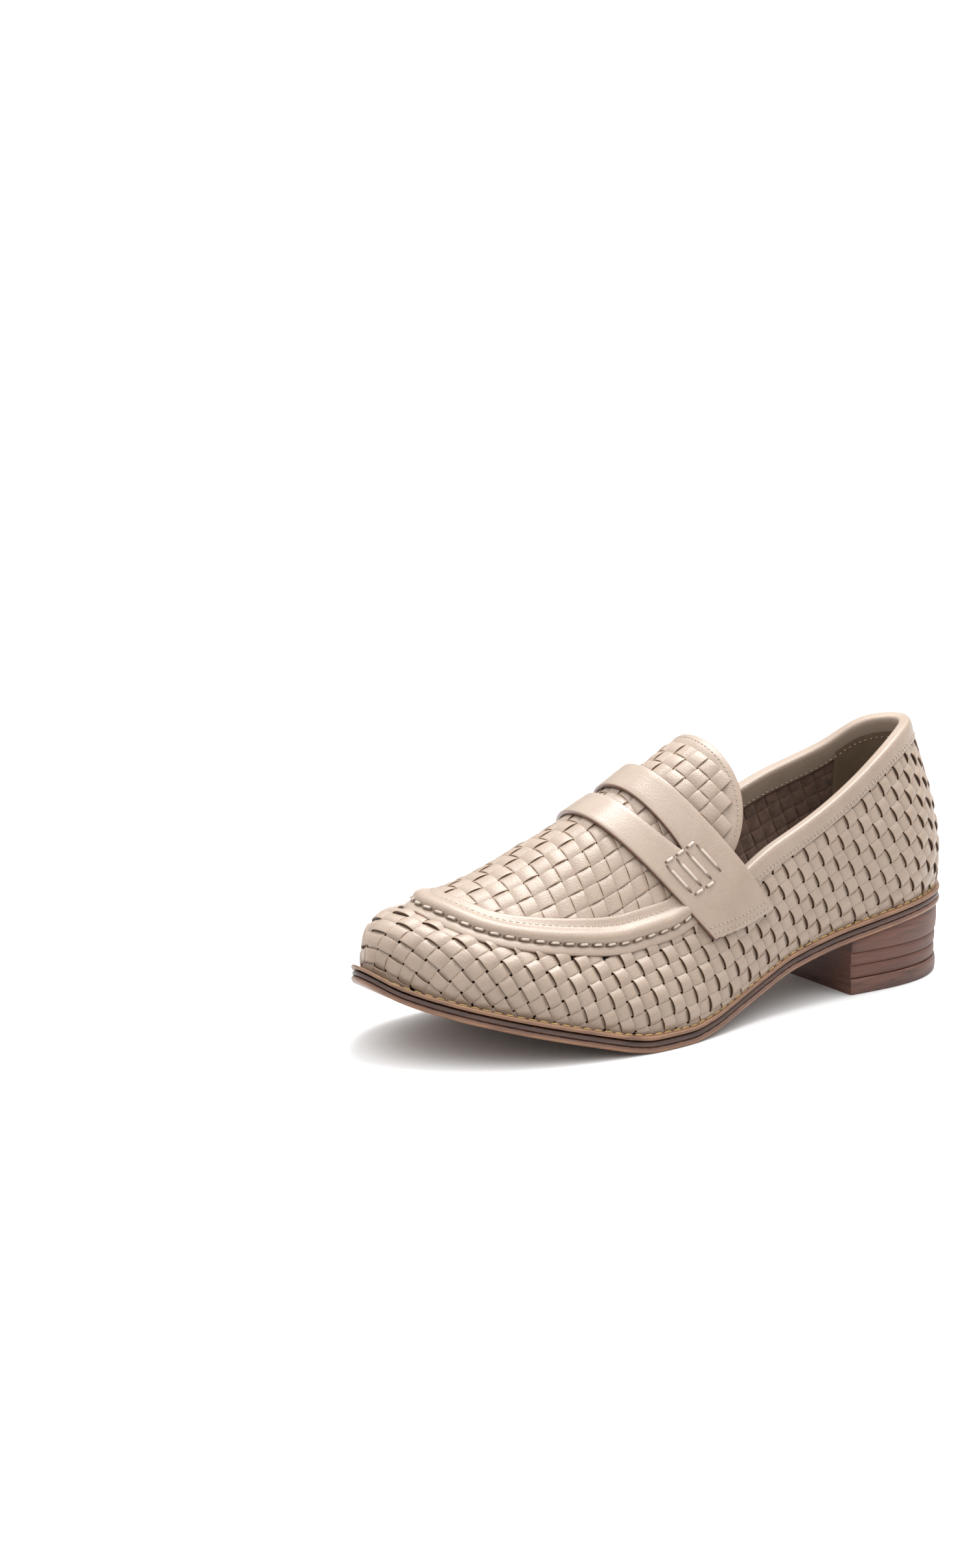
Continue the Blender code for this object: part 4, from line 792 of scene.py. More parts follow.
class Pile:
    """Vertices, faces and rim values gathered from several patches."""

    def __init__(self):
        self.verts, self.faces, self.rim, self.looks = [], [], [], []
        self.count = 0

    def grid(self, points, rim=None, look=0, wrap=False, flip=False):
        rows, columns = points.shape[:2]
        faces = grid_faces(rows, columns, self.count, wrap)
        self.faces += (faces[:, ::-1] if flip else faces).tolist()
        self.looks += [look] * len(faces)
        self.put(points.reshape(-1, 3), rim)

    def put(self, points, rim=None):
        self.verts.append(points)
        self.rim.append(np.zeros(len(points)) if rim is None else np.broadcast_to(rim, len(points)))
        self.count += len(points)

    def patch(self, points, faces, rim=None, look=0):
        self.faces += (np.asarray(faces) + self.count).tolist()
        self.looks += [look] * len(faces)
        self.put(points, rim)

    def make(self, name, materials):
        return piece(name, np.concatenate(self.verts), self.faces, materials, self.looks,
                     np.concatenate(self.rim), WELD)


# Looks

def shader(name, rough, specular=0.5):
    """A new material, its node tree, its shader and a helper that adds nodes."""
    look = bpy.data.materials.new(name)
    look.use_nodes = True
    tree = look.node_tree
    base = tree.nodes["Principled BSDF"]
    base.inputs["Roughness"].default_value = rough
    base.inputs["Specular IOR Level"].default_value = specular

    def add(kind, **values):
        node = tree.nodes.new(kind)
        for key, value in values.items():
            if key in node.inputs.keys():
                node.inputs[key].default_value = value
            else:
                setattr(node, key, value)
        return node

    return look, tree, base, add


def ramp(add, tree, source, stops):
    """Colour ramp over a source."""
    node = add("ShaderNodeValToRGB")
    parts = node.color_ramp.elements
    while len(parts) < len(stops):
        parts.new(0.5)
    for part, (place, colour) in zip(parts, stops):
        part.position = place
        part.color = (*colour, 1.0)
    tree.links.new(source, node.inputs["Fac"])
    return node.outputs["Color"]


def mix(add, tree, amount, one, two, blend="MIX"):
    """Mix of two colours, each a value or a socket."""
    node = add("ShaderNodeMix", data_type="RGBA", blend_type=blend)
    sockets = {s.identifier: s for s in node.inputs}
    for key, value in (("Factor_Float", amount), ("A_Color", one), ("B_Color", two)):
        if isinstance(value, (int, float)):
            sockets[key].default_value = value
        elif isinstance(value, tuple):
            sockets[key].default_value = (*value, 1.0)
        else:
            tree.links.new(value, sockets[key])
    return {s.identifier: s for s in node.outputs}["Result_Color"]


def leather(name, colour, dark, rough=0.42, grain=0.25, edge=None, coat=0.10, mottle=0.5, scale=1.0):
    """Satin leather: fine grain, faint mottling, and raw cut edges where rim grows from 0 to 1, darker towards 1; on
    the strips and the threads that dark end is painted shade in the gaps and the stitch holes.
    """
    look, tree, base, add = shader(name, rough)
    base.inputs["Coat Weight"].default_value = coat
    base.inputs["Coat Roughness"].default_value = 0.35
    where = add("ShaderNodeTexCoord").outputs["Object"]
    cloud = add("ShaderNodeTexNoise", Scale=70.0 * scale, Detail=4.0, Roughness=0.6)
    fine = add("ShaderNodeTexNoise", Scale=900.0 * scale, Detail=3.0, Roughness=0.65)
    cells = add("ShaderNodeTexVoronoi", Scale=1500.0 * scale)
    for node in (cloud, fine, cells):
        tree.links.new(where, node.inputs["Vector"])
    tone = ramp(add, tree, cloud.outputs["Fac"], [(0.30, dark), (0.62, colour)])
    tone = mix(add, tree, mottle, colour, tone)
    speck = ramp(add, tree, fine.outputs["Fac"], [(0.30, (0.80, 0.80, 0.80)), (0.55, (1.0, 1.0, 1.0))])
    tone = mix(add, tree, 0.35, tone, speck, "MULTIPLY")
    if edge:
        rim = add("ShaderNodeAttribute", attribute_name="rim").outputs["Fac"]
        ends = ramp(add, tree, rim, [(0.0, edge[0]), (0.28, edge[0]), (0.42, edge[1]), (0.80, edge[2])])
        amount = add("ShaderNodeMapRange")
        amount.inputs["From Min"].default_value = 0.04
        amount.inputs["From Max"].default_value = 0.16
        tree.links.new(rim, amount.inputs["Value"])
        tone = mix(add, tree, amount.outputs["Result"], tone, ends)
    tree.links.new(tone, base.inputs["Base Color"])
    gloss = add("ShaderNodeMapRange")
    gloss.inputs["To Min"].default_value = rough - 0.07
    gloss.inputs["To Max"].default_value = rough + 0.09
    tree.links.new(cloud.outputs["Fac"], gloss.inputs["Value"])
    tree.links.new(gloss.outputs["Result"], base.inputs["Roughness"])
    height = add("ShaderNodeMath", operation="ADD")
    tree.links.new(fine.outputs["Fac"], height.inputs[0])
    tree.links.new(cells.outputs["Distance"], height.inputs[1])
    bump = add("ShaderNodeBump", Strength=grain, Distance=0.00025)
    tree.links.new(height.outputs["Value"], bump.inputs["Height"])
    tree.links.new(bump.outputs["Normal"], base.inputs["Normal"])
    return look


def suede(name, colour, dark, nap=0.6):
    """Rough raw leather with a soft nap."""
    look, tree, base, add = shader(name, 0.92, 0.25)
    base.inputs["Sheen Weight"].default_value = 0.25
    base.inputs["Sheen Roughness"].default_value = 0.5
    where = add("ShaderNodeTexCoord").outputs["Object"]
    cloud = add("ShaderNodeTexNoise", Scale=260.0, Detail=6.0, Roughness=0.7)
    fine = add("ShaderNodeTexNoise", Scale=2600.0, Detail=4.0, Roughness=0.7)
    for node in (cloud, fine):
        tree.links.new(where, node.inputs["Vector"])
    tone = ramp(add, tree, cloud.outputs["Fac"], [(0.32, dark), (0.66, colour)])
    tree.links.new(tone, base.inputs["Base Color"])
    bump = add("ShaderNodeBump", Strength=nap, Distance=0.0004)
    tree.links.new(fine.outputs["Fac"], bump.inputs["Height"])
    tree.links.new(bump.outputs["Normal"], base.inputs["Normal"])
    return look


def stacked(name, colour, dark, line, lines_per_metre, rough=0.45, darker_top=None):
    """Burnished edge of stacked leather, with fine level lines and a darker top where rim grows to 1."""
    look, tree, base, add = shader(name, rough)
    where = add("ShaderNodeTexCoord").outputs["Object"]
    split = add("ShaderNodeSeparateXYZ")
    tree.links.new(where, split.inputs["Vector"])
    cloud = add("ShaderNodeTexNoise", Scale=95.0, Detail=5.0, Roughness=0.6)
    stretch = add("ShaderNodeMapping")
    stretch.inputs["Scale"].default_value = (60.0, 60.0, lines_per_metre)
    tree.links.new(where, stretch.inputs["Vector"])
    streak = add("ShaderNodeTexNoise", Scale=1.0, Detail=5.0, Roughness=0.6)
    tree.links.new(stretch.outputs["Vector"], streak.inputs["Vector"])
    tree.links.new(where, cloud.inputs["Vector"])
    tone = ramp(add, tree, streak.outputs["Fac"], [(0.32, line), (0.46, dark), (0.66, colour)])
    shade = ramp(add, tree, cloud.outputs["Fac"], [(0.25, (0.72, 0.72, 0.72)), (0.65, (1.0, 1.0, 1.0))])
    tone = mix(add, tree, 0.6, tone, shade, "MULTIPLY")
    # Mixes towards a darker colour at the top of the edge as rim grows to 1.
    if darker_top:
        rim = add("ShaderNodeAttribute", attribute_name="rim").outputs["Fac"]
        amount = ramp(add, tree, rim, [(0.45, (0.0, 0.0, 0.0)), (0.80, (1.0, 1.0, 1.0))])
        tone = mix(add, tree, amount, tone, darker_top)
    tree.links.new(tone, base.inputs["Base Color"])
    bump = add("ShaderNodeBump", Strength=0.25, Distance=0.0003)
    tree.links.new(streak.outputs["Fac"], bump.inputs["Height"])
    tree.links.new(bump.outputs["Normal"], base.inputs["Normal"])
    return look


CREAM = (0.275, 0.209, 0.161)
CREAM_DARK = (0.225, 0.165, 0.121)
# Cut-edge colours: OCHRE is a raw rim and BROWN a dark brown side; the near-black below them is painted shade in the
# gaps and stitch holes.
OCHRE = (0.200, 0.112, 0.045)
BROWN = (0.060, 0.026, 0.014)
SHADE_BLACK_BROWN = (0.018, 0.009, 0.006)
RAW_PINK = (0.175, 0.095, 0.070)
RAW_PINK_DARK = (0.105, 0.053, 0.038)

# Thread colours at a stitch's ends, darkening where it dips into the leather: painted shade of the stitch holes.
HOLE_SHADE = ((0.110, 0.066, 0.045), BROWN, SHADE_BLACK_BROWN)
THICK_HOLE_SHADE = ((0.230, 0.170, 0.125), (0.150, 0.098, 0.070), BROWN)
# Cut sides of the strips: ochre rim, dark brown below, then near-black at their foot in the gaps, which is painted
# shade.
STRIPS = leather("strip_leather", CREAM, CREAM_DARK, 0.40, 0.30, (OCHRE, BROWN, SHADE_BLACK_BROWN))
TRIM = leather("trim_leather", CREAM, CREAM_DARK, 0.40, 0.22, (RAW_PINK, RAW_PINK_DARK, BROWN))
STRAP_LOOK = leather("strap_leather", CREAM, CREAM_DARK, 0.30, 0.20, (RAW_PINK, RAW_PINK, RAW_PINK_DARK), 0.2)
THREAD = leather("thread", (0.44, 0.36, 0.28), (0.35, 0.28, 0.21), 0.5, 0.6, HOLE_SHADE, 0.0, 0.6, 2.5)
THICK_THREAD = leather("thick_thread", (0.45, 0.38, 0.32), (0.33, 0.26, 0.20), 0.40, 0.5, THICK_HOLE_SHADE, 0.1, 0.7, 2.0)
# Near-black backing under the strips: painted shade seen in the gaps of the weave.
UNDER_SHADE = suede("under_weave_painted_shade", (0.035, 0.018, 0.011), (0.016, 0.008, 0.005))
# Brown suede lining, darkened to how the shoe's inside reads in shade: partly its own colour, partly painted shade.
LINING_SHADED = suede("woven_lining_shaded", (0.150, 0.088, 0.060), (0.075, 0.042, 0.028))
COUNTER = leather("counter_lining", (0.150, 0.105, 0.066), (0.090, 0.060, 0.036), 0.5, 0.3)
SUEDE_BACK = suede("tongue_back", (0.190, 0.150, 0.120), (0.120, 0.090, 0.070))
WELT_LOOK = stacked("welt_edge", (0.200, 0.100, 0.052), (0.155, 0.076, 0.040), (0.100, 0.046, 0.026), 500.0)
MIDSOLE_LOOK = stacked("midsole_edge", (0.070, 0.032, 0.021), (0.050, 0.023, 0.016), (0.030, 0.013, 0.010), 700.0)
OUTSOLE_LOOK = stacked("outsole_edge", (0.225, 0.112, 0.056), (0.185, 0.088, 0.044), (0.120, 0.056, 0.030), 300.0, 0.4,
                       (0.095, 0.045, 0.030))
HEEL_LOOK = stacked("heel_lifts", (0.108, 0.040, 0.024), (0.088, 0.032, 0.020), (0.060, 0.022, 0.015), 900.0, 0.55)
TOP_LIFT_LOOK = stacked("top_lift", (0.115, 0.048, 0.030), (0.085, 0.034, 0.022), (0.040, 0.016, 0.011), 500.0, 0.5)
SOLE_STITCH = leather("sole_thread", (0.480, 0.310, 0.110), (0.300, 0.180, 0.060), 0.5, 0.5, None, 0.0, 0.6, 2.5)


# Woven strips

# Across a strip: place as a share of its half width, drop below its crown and rim value
# Rim values colour the cut side: ochre near the crown, dark brown below, and near-black at its foot in the gap, which
# is painted shade.
ACROSS = np.array([(-1.0, 0.00110, 1.00), (-1.0, 0.00028, 0.34), (-1.0, 0.00013, 0.12), (-0.95, 0.00007, 0.0),
                   (-0.72, 0.00003, 0.0), (-0.26, 0.0, 0.0), (0.26, 0.0, 0.0), (0.72, 0.00003, 0.0),
                   (0.95, 0.00007, 0.0), (1.0, 0.00013, 0.12), (1.0, 0.00028, 0.34), (1.0, 0.00110, 1.00)])


def wave(turn, rise):
    """Up and down of a strip over a run of crossings, between -1 and 1."""
    return np.tanh(rise.sharp * (turn - rise.bias)) / np.tanh(rise.sharp)


def strips(pile, cells, place, share, rise, lengthwise, seed, plain=None):
    """Every strip of one direction, crossing by crossing.

    cells are the (column, row) numbers. A lengthwise strip runs along the columns and is on
    top where column and row add up to an even number; the other direction is on top elsewhere.
    """
    cells = np.array(cells)
    on_top = ((cells.sum(axis=1) % 2) == 0) == lengthwise
    for top, steps in ((True, 9), (False, 5)):
        group = cells[on_top == top]
        if not len(group):
            continue
        u = np.linspace(-0.5, 0.5, steps)[None, :, None]
        w = ACROSS[None, None, :, 0] * 0.5 * share
        along_cell = group[:, 0 if lengthwise else 1] + 0.5
        row_number = group[:, 1 if lengthwise else 0]
        sway = 0.022 * JITTER[seed, (row_number * 7 + 90) % 400][:, None, None]
        wide = 1.0 + 0.030 * JITTER[seed, (row_number * 3 + 60) % 400][:, None, None]
        run = along_cell[:, None, None] + u + 0.0 * w
        side = (row_number + 0.5)[:, None, None] + w * wide + sway + 0.0 * u
        turn = np.cos(np.pi * u) * (1.0 if top else -1.0)
        height = wave(turn, rise)
        middle = wave(0.0, rise)
        live = 1.0 + 0.10 * JITTER[seed, (group[:, 0] * 13 + group[:, 1] * 29 + 200) % 400][:, None, None]
        height = middle + (height - middle) * live
        height = 0.5 * (rise.lift - rise.drop) + 0.5 * (rise.lift + rise.drop) * height
        if plain is not None:
            height = height * plain(run, side, lengthwise)
        out = height + STRIP_LEATHER * 0.5 - ACROSS[None, None, :, 1] * (1.0 + 0.0 * u)
        p, q = (run, side) if lengthwise else (side, run)
        points = place(p + 0.0 * out, q + 0.0 * out, out)
        for block in points:
            pile.verts.append(block.reshape(-1, 3))
        size = steps * len(ACROSS)
        faces = grid_faces(steps, len(ACROSS))
        many = (faces[None] + (np.arange(len(group)) * size)[:, None, None]).reshape(-1, 4) + pile.count
        pile.faces += (many if lengthwise else many[:, ::-1]).tolist()
        pile.looks += [0] * len(many)
        pile.rim.append(np.tile(ACROSS[:, 2], steps * len(group)))
        pile.count += size * len(group)


def whole_cells(low, high, keep):
    """Crossings of a lattice whose middle is kept."""
    columns, rows = np.meshgrid(np.arange(low[0], high[0]), np.arange(low[1], high[1]), indexing="ij")
    cells = np.column_stack([columns.ravel(), rows.ravel()])
    return cells[keep(cells + 0.5)]


def wall_kept(top, foot):
    """Test for middles of crossings that lie on the wall, between a depth and a foot margin."""
    def keep(middles):
        place = sheet_read(middles[:, 0], middles[:, 1])
        corners = [sheet_read(middles[:, 0] + a, middles[:, 1] + b) for a in (-0.5, 0.5) for b in (-0.5, 0.5)]
        whole = ~np.isnan(np.array(corners)).any(axis=(0, 2))
        full = np.interp(place[:, 0], SHEET_S, 2 * HALF_DEPTH)
        banded = (place[:, 0] < S_THROAT_OUTER) | (place[:, 0] > S_THROAT_INNER)
        return (whole & (place[:, 1] > np.where(banded, BAND_TOP, top)) & (place[:, 1] < full - foot)
                & (place[:, 0] > 0.004) & (place[:, 0] < 0.996))
    return keep


def covered_plain(run, side, lengthwise):
    """Strips lie flat where they run down into the welt and up under the binding."""
    p, q = (run, side) if lengthwise else (side, run)
    place = sheet_read(p + 0.0 * q, q + 0.0 * p)
    s, depth = place[..., 0], place[..., 1]
    full = np.interp(s, SHEET_S, 2 * HALF_DEPTH)
    foot = np.clip((full - depth) / FOOT_PLAIN, 0.0, 1.0) ** 0.5
    top = np.clip((depth - BAND_FLAT) / (BINDING_DROP + BAND_CLEAR - BAND_FLAT), 0.1, 1.0)
    return foot * np.where((s > S_LIP_OUTER) & (s < S_LIP_INNER), 1.0, top)


def make_wall_weave():
    """Both sets of strips round the wall."""
    high = SHEET_LOW + np.array(SHEET_PLACES.shape[:2]) - 1
    down_way = whole_cells(SHEET_LOW, high, wall_kept(-0.0028, -0.0026))
    long_way = whole_cells(SHEET_LOW, high, wall_kept(-0.0028, -0.0026))
    pile = Pile()
    strips(pile, long_way, wall_weave, LONG_SHARE, Rise(0.00034, 0.00062, 0.16, 1.9), True, 0, covered_plain)
    made = pile.make("wall_strips_lengthwise", [STRIPS])
    pile = Pile()
    strips(pile, down_way, wall_weave, CROSS_SHARE, Rise(0.00095, 0.00062, 0.0, 1.1), False, 1, covered_plain)
    made = pile.make("wall_strips_crosswise", [STRIPS])


def apron_cells():
    """Crossings of the apron that its border and the throat leave visible."""
    seam = top_edge(np.linspace(S_THROAT_OUTER, S_THROAT_INNER, 300))

    def keep(middles):
        plan = apron_plan(middles[:, 0], middles[:, 1])
        place = np.column_stack([plan, plug_height(plan[:, 0], plan[:, 1])])
        apart = np.linalg.norm(place[:, None] - seam[None], axis=2).min(axis=1)
        loop = np.concatenate([SEAM_OUTER[:, :2], SEAM_INNER[::-1, :2]])
        behind = (place - PLANE_THROAT[0]) @ PLANE_THROAT[1]
        return inside(plan, loop) & (apart > BORDER_REACH - 0.0045) & (behind < 0.0015)

    return whole_cells(np.array([-9, 0]), np.array([9, 23]), keep)


def make_apron_weave():
    """Both sets of strips on the apron."""
    cells = apron_cells()
    pile = Pile()
    strips(pile, cells, apron_weave, APRON_CROSS_SHARE, Rise(0.00062, 0.00052, 0.05, 1.2), False, 0)
    strips(pile, cells, apron_weave, APRON_LONG_SHARE, Rise(0.00046, 0.00052, 0.05, 1.4), True, 1)
    made = pile.make("apron_strips", [STRIPS])


def make_under_wall():
    """Backing behind the strips, on the wall and the plug, with their inner faces: its near-black outer face is
    painted shade seen through the gaps.
    """
    pile = Pile()
    s = np.linspace(0.0, 1.0, 241)
    shares = np.linspace(0.0, 1.0, 15)
    full = np.interp(s, SHEET_S, 2 * HALF_DEPTH)
    outer = wall_fast(s[:, None], full[:, None] * shares[None], -0.0012)
    inner = wall_fast(s[:, None], full[:, None] * shares[None], -WALL - 0.0002)
    # Near-black outer face: painted shade seen through the gaps between strips.
    pile.grid(outer)
    pile.grid(inner, look=1, flip=True)
    pile.grid(np.stack([outer[:, 0], inner[:, 0]]), flip=True)
    pile.grid(np.stack([outer[:, -1], inner[:, -1]]))
    made = pile.make("wall_backing", [UNDER_SHADE, LINING_SHADED])
    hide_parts("upper")

    seam_s = np.linspace(S_THROAT_OUTER, S_THROAT_INNER, 160)
    throat = girth(PLANE_THROAT)[6:-6]
    loop = np.concatenate([top_edge(seam_s)[:, :2], throat[::-1][1:-1, :2]])
    plan, faces = triangulate([loop], grid_inside([loop], 0.0025, 0.0012))
    place = plug_at(plan[:, 0], plan[:, 1], 0.0)
    apart = np.linalg.norm(place[:, None] - top_edge(seam_s)[None], axis=2).min(axis=1)
    sunk = np.where(apart < BORDER_REACH - 0.002, -0.0026, -0.0011)
    pile = Pile()
    # Near-black face under the apron's strips: painted shade in the gaps of the weave.
    pile.patch(plug_at(plan[:, 0], plan[:, 1], sunk), faces)
    pile.patch(plug_at(plan[:, 0], plan[:, 1], -0.0034), faces[:, ::-1], look=1)
    rim = [plug_at(loop[:, 0], loop[:, 1], out) for out in (-0.0026, -0.0034)]
    pile.grid(np.stack(rim), wrap=True)
    plug = pile.make("apron_backing", [UNDER_SHADE, LINING_SHADED])


def make_inner_weave():
    """The back of the weave, seen inside the quarters."""
    high = SHEET_LOW + np.array(SHEET_PLACES.shape[:2]) - 1
    cells = whole_cells(SHEET_LOW, high, wall_kept(-0.0020, -0.0010))
    place = sheet_read(cells[:, 0] + 0.5, cells[:, 1] + 0.5)
    cells = cells[(place[:, 0] < S_THROAT_OUTER + 0.02) | (place[:, 0] > S_THROAT_INNER - 0.02)]

    def back(p, q, out):
        place = sheet_read(p, q)
        return wall_fast(place[..., 0], np.maximum(place[..., 1], BINDING_DROP - 0.001), -WALL - 0.0002 - out)

    pile = Pile()
    strips(pile, cells, back, 0.95, Rise(0.00020, 0.00045, 0.1, 1.6), True, 0)
    strips(pile, cells, back, 0.90, Rise(0.00030, 0.00045, 0.1, 1.6), False, 1)
    made = pile.make("inner_strips", [LINING_SHADED])


def make_counter():
    """Smooth lining round the back of the heel, ending at a seam on each side."""
    s = np.linspace(-COUNTER_REACH, COUNTER_REACH, 61)
    full = np.interp(np.mod(s, 1.0), SHEET_S, 2 * HALF_DEPTH)
    shares = np.linspace(0.0, 1.0, 15)
    depth = (BINDING_DROP - 0.002) * (1 - shares)[None] + (full[:, None] - 0.001) * shares[None]
    pile = Pile()
    face = wall_fast(np.mod(s, 1.0)[:, None], depth, -WALL - 0.0017)
    pile.grid(face, flip=True)
    for k in (0, -1):
        pile.grid(np.stack([face[k], wall_fast(np.mod(s[k:k + 1 or None], 1.0), depth[k], -WALL)]))
    made = pile.make("heel_counter_lining", [COUNTER])


# Swept and cut pieces

def sweep_band(name, stations, rim, materials):
    """Skin through rows of points that each go round a closed profile, with its ends filled."""
    stations = np.asarray(stations)
    rows, size = stations.shape[:2]
    pile = Pile()
    pile.grid(stations, np.tile(rim, rows), wrap=True)
    pile.patch(stations[0], [tuple(range(size))[::-1]], rim)
    pile.patch(stations[-1], [tuple(range(size))], rim)
    return pile.make(name, materials)


def stitch_row(pile, path, normals, spacing, length, radius, lift=0.0, start=0.5, skew=0.0):
    """Short rounded stitches along a path: each arches out of the leather and dips in at its ends."""
    path, normals = np.asarray(path), np.asarray(normals)
    run = np.concatenate([[0.0], np.cumsum(np.linalg.norm(np.diff(path, axis=0), axis=1))])
    places = np.arange(start * spacing, run[-1] - 0.3 * spacing, spacing)

    def read(table, at):
        return np.column_stack([np.interp(at, run, table[:, k]) for k in range(3)])

    turns = np.linspace(0.0, 2 * np.pi, 8, endpoint=False)
    shares = np.array([-1.0, -0.86, -0.5, 0.0, 0.5, 0.86, 1.0])
    girths = np.array([0.35, 0.80, 1.0, 1.0, 1.0, 0.80, 0.35])
    for place in places:
        at = place + shares * 0.5 * length
        centre = read(path, at)
        normal = unit(read(normals, np.full(1, place)))[0]
        way = unit(centre[-1] - centre[0])
        across = np.cross(normal, way)
        arch = lift + radius * (0.55 - 1.15 * shares ** 4)
        ring = (centre[:, None] + across * (np.cos(turns)[None, :, None] * (radius * girths)[:, None, None])
                + normal * ((np.sin(turns)[None, :] * (0.85 * radius * girths)[:, None] + arch[:, None])[..., None])
                + across * (skew * shares * length)[:, None, None])
        # Rim grows to 1 at each stitch's ends; threads with hole colours darken there as painted shade of the holes.
        pile.grid(ring, np.repeat([1.0, 0.7, 0.0, 0.0, 0.0, 0.7, 1.0], 8), wrap=True)
        pile.patch(ring[0], [tuple(range(8))[::-1]], 1.0)
        pile.patch(ring[-1], [tuple(range(8))], 1.0)


def seam_fast(s, reach, out):
    """Points of the plug at a reach inwards from its seam, lifted out of its face."""
    s = np.atleast_1d(s)
    base, way = top_edge(s), -outward(top_plan, s)
    steps = np.linspace(0.0, 0.020, 24)
    plan = base[:, None, :2] + way[:, None] * steps[None, :, None]
    rise = plug_height(plan[..., 0].ravel(), plan[..., 1].ravel()).reshape(len(s), -1)
    run = np.cumsum(np.hypot(np.diff(steps)[None], np.diff(rise, axis=1)), axis=1)
    run = np.column_stack([np.zeros(len(s)), run])
    inward = np.array([np.interp(max(reach, 0.0), row, steps) for row in run])
    place = base[:, :2] + way * np.maximum(inward, 0.0004)[:, None]
    points = plug_at(place[:, 0], place[:, 1], out)
    if reach < 0:
        slope = (rise[:, 1] - rise[:, 0]) / steps[1]
        points = points + np.column_stack([way, slope]) * (reach / np.hypot(1.0, slope))[:, None]
    return points


def border_stations(reaches, outs, count, back=0.0):
    """Rows of points along the apron's seam at these reaches inward and lifts."""
    plane = (PLANE_FRONT[0] + PLANE_FRONT[1] * back, PLANE_FRONT[1])
    rows = []
    for reach, out in zip(reaches, outs):
        first = crossing(lambda s: seam_fast(s, reach, out), OUTER_SPAN, plane)
        last = crossing(lambda s: seam_fast(s, reach, out), INNER_SPAN, plane)
        rows.append(seam_fast(np.linspace(first, last, count), reach, out))
    return np.swapaxes(np.array(rows), 0, 1)


def make_border():
    """Raised rolled seam round the apron, its flange over the vamp and its stitches."""
    profile = np.array([
        (-0.0014, 0.0003, 1.0), (-0.0015, 0.0010, 0.4), (-0.0013, 0.0015, 0.08), (-0.0006, 0.0017, 0.0),
        (0.0010, 0.0017, 0.0), (0.0022, 0.0016, 0.0), (0.0028, 0.0013, 0.0), (0.0032, 0.0010, 0.0),
        (0.0035, 0.0012, 0.0), (0.0037, 0.0019, 0.0), (0.0042, 0.0027, 0.0), (0.0051, 0.0033, 0.0),
        (0.0062, 0.0035, 0.0), (0.0074, 0.0033, 0.0), (0.0085, 0.0027, 0.0), (0.0093, 0.0020, 0.0),
        (0.0100, 0.0016, 0.0), (0.0112, 0.0014, 0.0), (0.0124, 0.0014, 0.0), (0.0134, 0.0013, 0.0),
        (0.0139, 0.0010, 0.15), (0.0140, 0.0006, 0.8), (0.0060, 0.0003, 1.0)])
    stations = border_stations(profile[:, 0], profile[:, 1], 261, 0.0010)
    made = sweep_band("apron_border_band", stations, profile[:, 2], [TRIM])
    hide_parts("apron_border")
    lines = border_stations([0.0034, 0.0034, 0.0106, 0.0106], [0.0019, 0.0029, 0.0014, 0.0024], 200, 0.0010)
    pile = Pile()
    stitch_row(pile, lines[:, 0], lines[:, 1] - lines[:, 0], 0.0056, 0.0046, 0.00052, 0.0, 0.5, 0.05)
    thick = pile.make("apron_hand_stitches", [THICK_THREAD])
    pile = Pile()
    stitch_row(pile, lines[:, 2], lines[:, 3] - lines[:, 2], 0.0024, 0.0017, 0.00020)
    fine = pile.make("apron_fine_stitches", [THREAD])


def collar_stations(depths, lifts, count):
    """Rows of points along the topline at these depths and lifts."""
    plane = (PLANE_REAR[0] - PLANE_REAR[1] * 0.004, PLANE_REAR[1])
    rows = []
    for depth, lift in zip(depths, lifts):
        first = crossing(lambda s: wall_at(s, depth, lift), OUTER_SPAN, plane)
        last = crossing(lambda s: wall_at(s, depth, lift), INNER_SPAN, plane) - 1.0
        s = np.linspace(first, last, count)
        rows.append(wall_fast(np.mod(s, 1.0), np.full(count, depth), np.full(count, lift)))
    return np.swapaxes(np.array(rows), 0, 1)


def make_binding():
    """Smooth leather rolled over the topline, inside and out, with its double stitch line."""
    drop = BINDING_DROP
    profile = np.array([
        (drop, 0.0004, 1.0), (drop + 0.0001, 0.0010, 0.3), (drop - 0.0002, 0.00135, 0.06),
        (drop - 0.0010, 0.0015, 0.0),
        (0.0060, 0.00150, 0.0), (0.0040, 0.0017, 0.0), (0.0020, 0.0017, 0.0), (0.0006, 0.0015, 0.0),
        (-0.0004, 0.0010, 0.0), (-0.0011, 0.0002, 0.0), (-0.0014, -0.0008, 0.0), (-0.0011, -0.0018, 0.0),
        (-0.0004, -0.0026, 0.0), (0.0006, -0.0031, 0.0), (0.0020, -0.0033, 0.0), (0.0050, -0.0033, 0.0),
        (drop + 0.0008, -0.0032, 0.0), (drop + 0.0014, -0.0031, 0.1), (drop + 0.0014, -0.0024, 0.8),
        (0.0040, -0.0010, 1.0)])
    stations = collar_stations(profile[:, 0], profile[:, 1], 241)
    made = sweep_band("topline_band", stations, profile[:, 2], [TRIM])
    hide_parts("topline_binding")
    pile = Pile()
    for depth in (0.0057, 0.0066):
        lines = collar_stations([depth, depth], [0.00150, 0.0025], 200)
        stitch_row(pile, lines[:, 0], lines[:, 1] - lines[:, 0], 0.0019, 0.0013, 0.00016)
    lines = collar_stations([0.0080, 0.0080], [-0.0033, -0.0043], 200)
    stitch_row(pile, lines[:, 0], lines[:, 1] - lines[:, 0], 0.0022, 0.0015, 0.00017)
    seams = pile.make("topline_stitches", [THREAD])


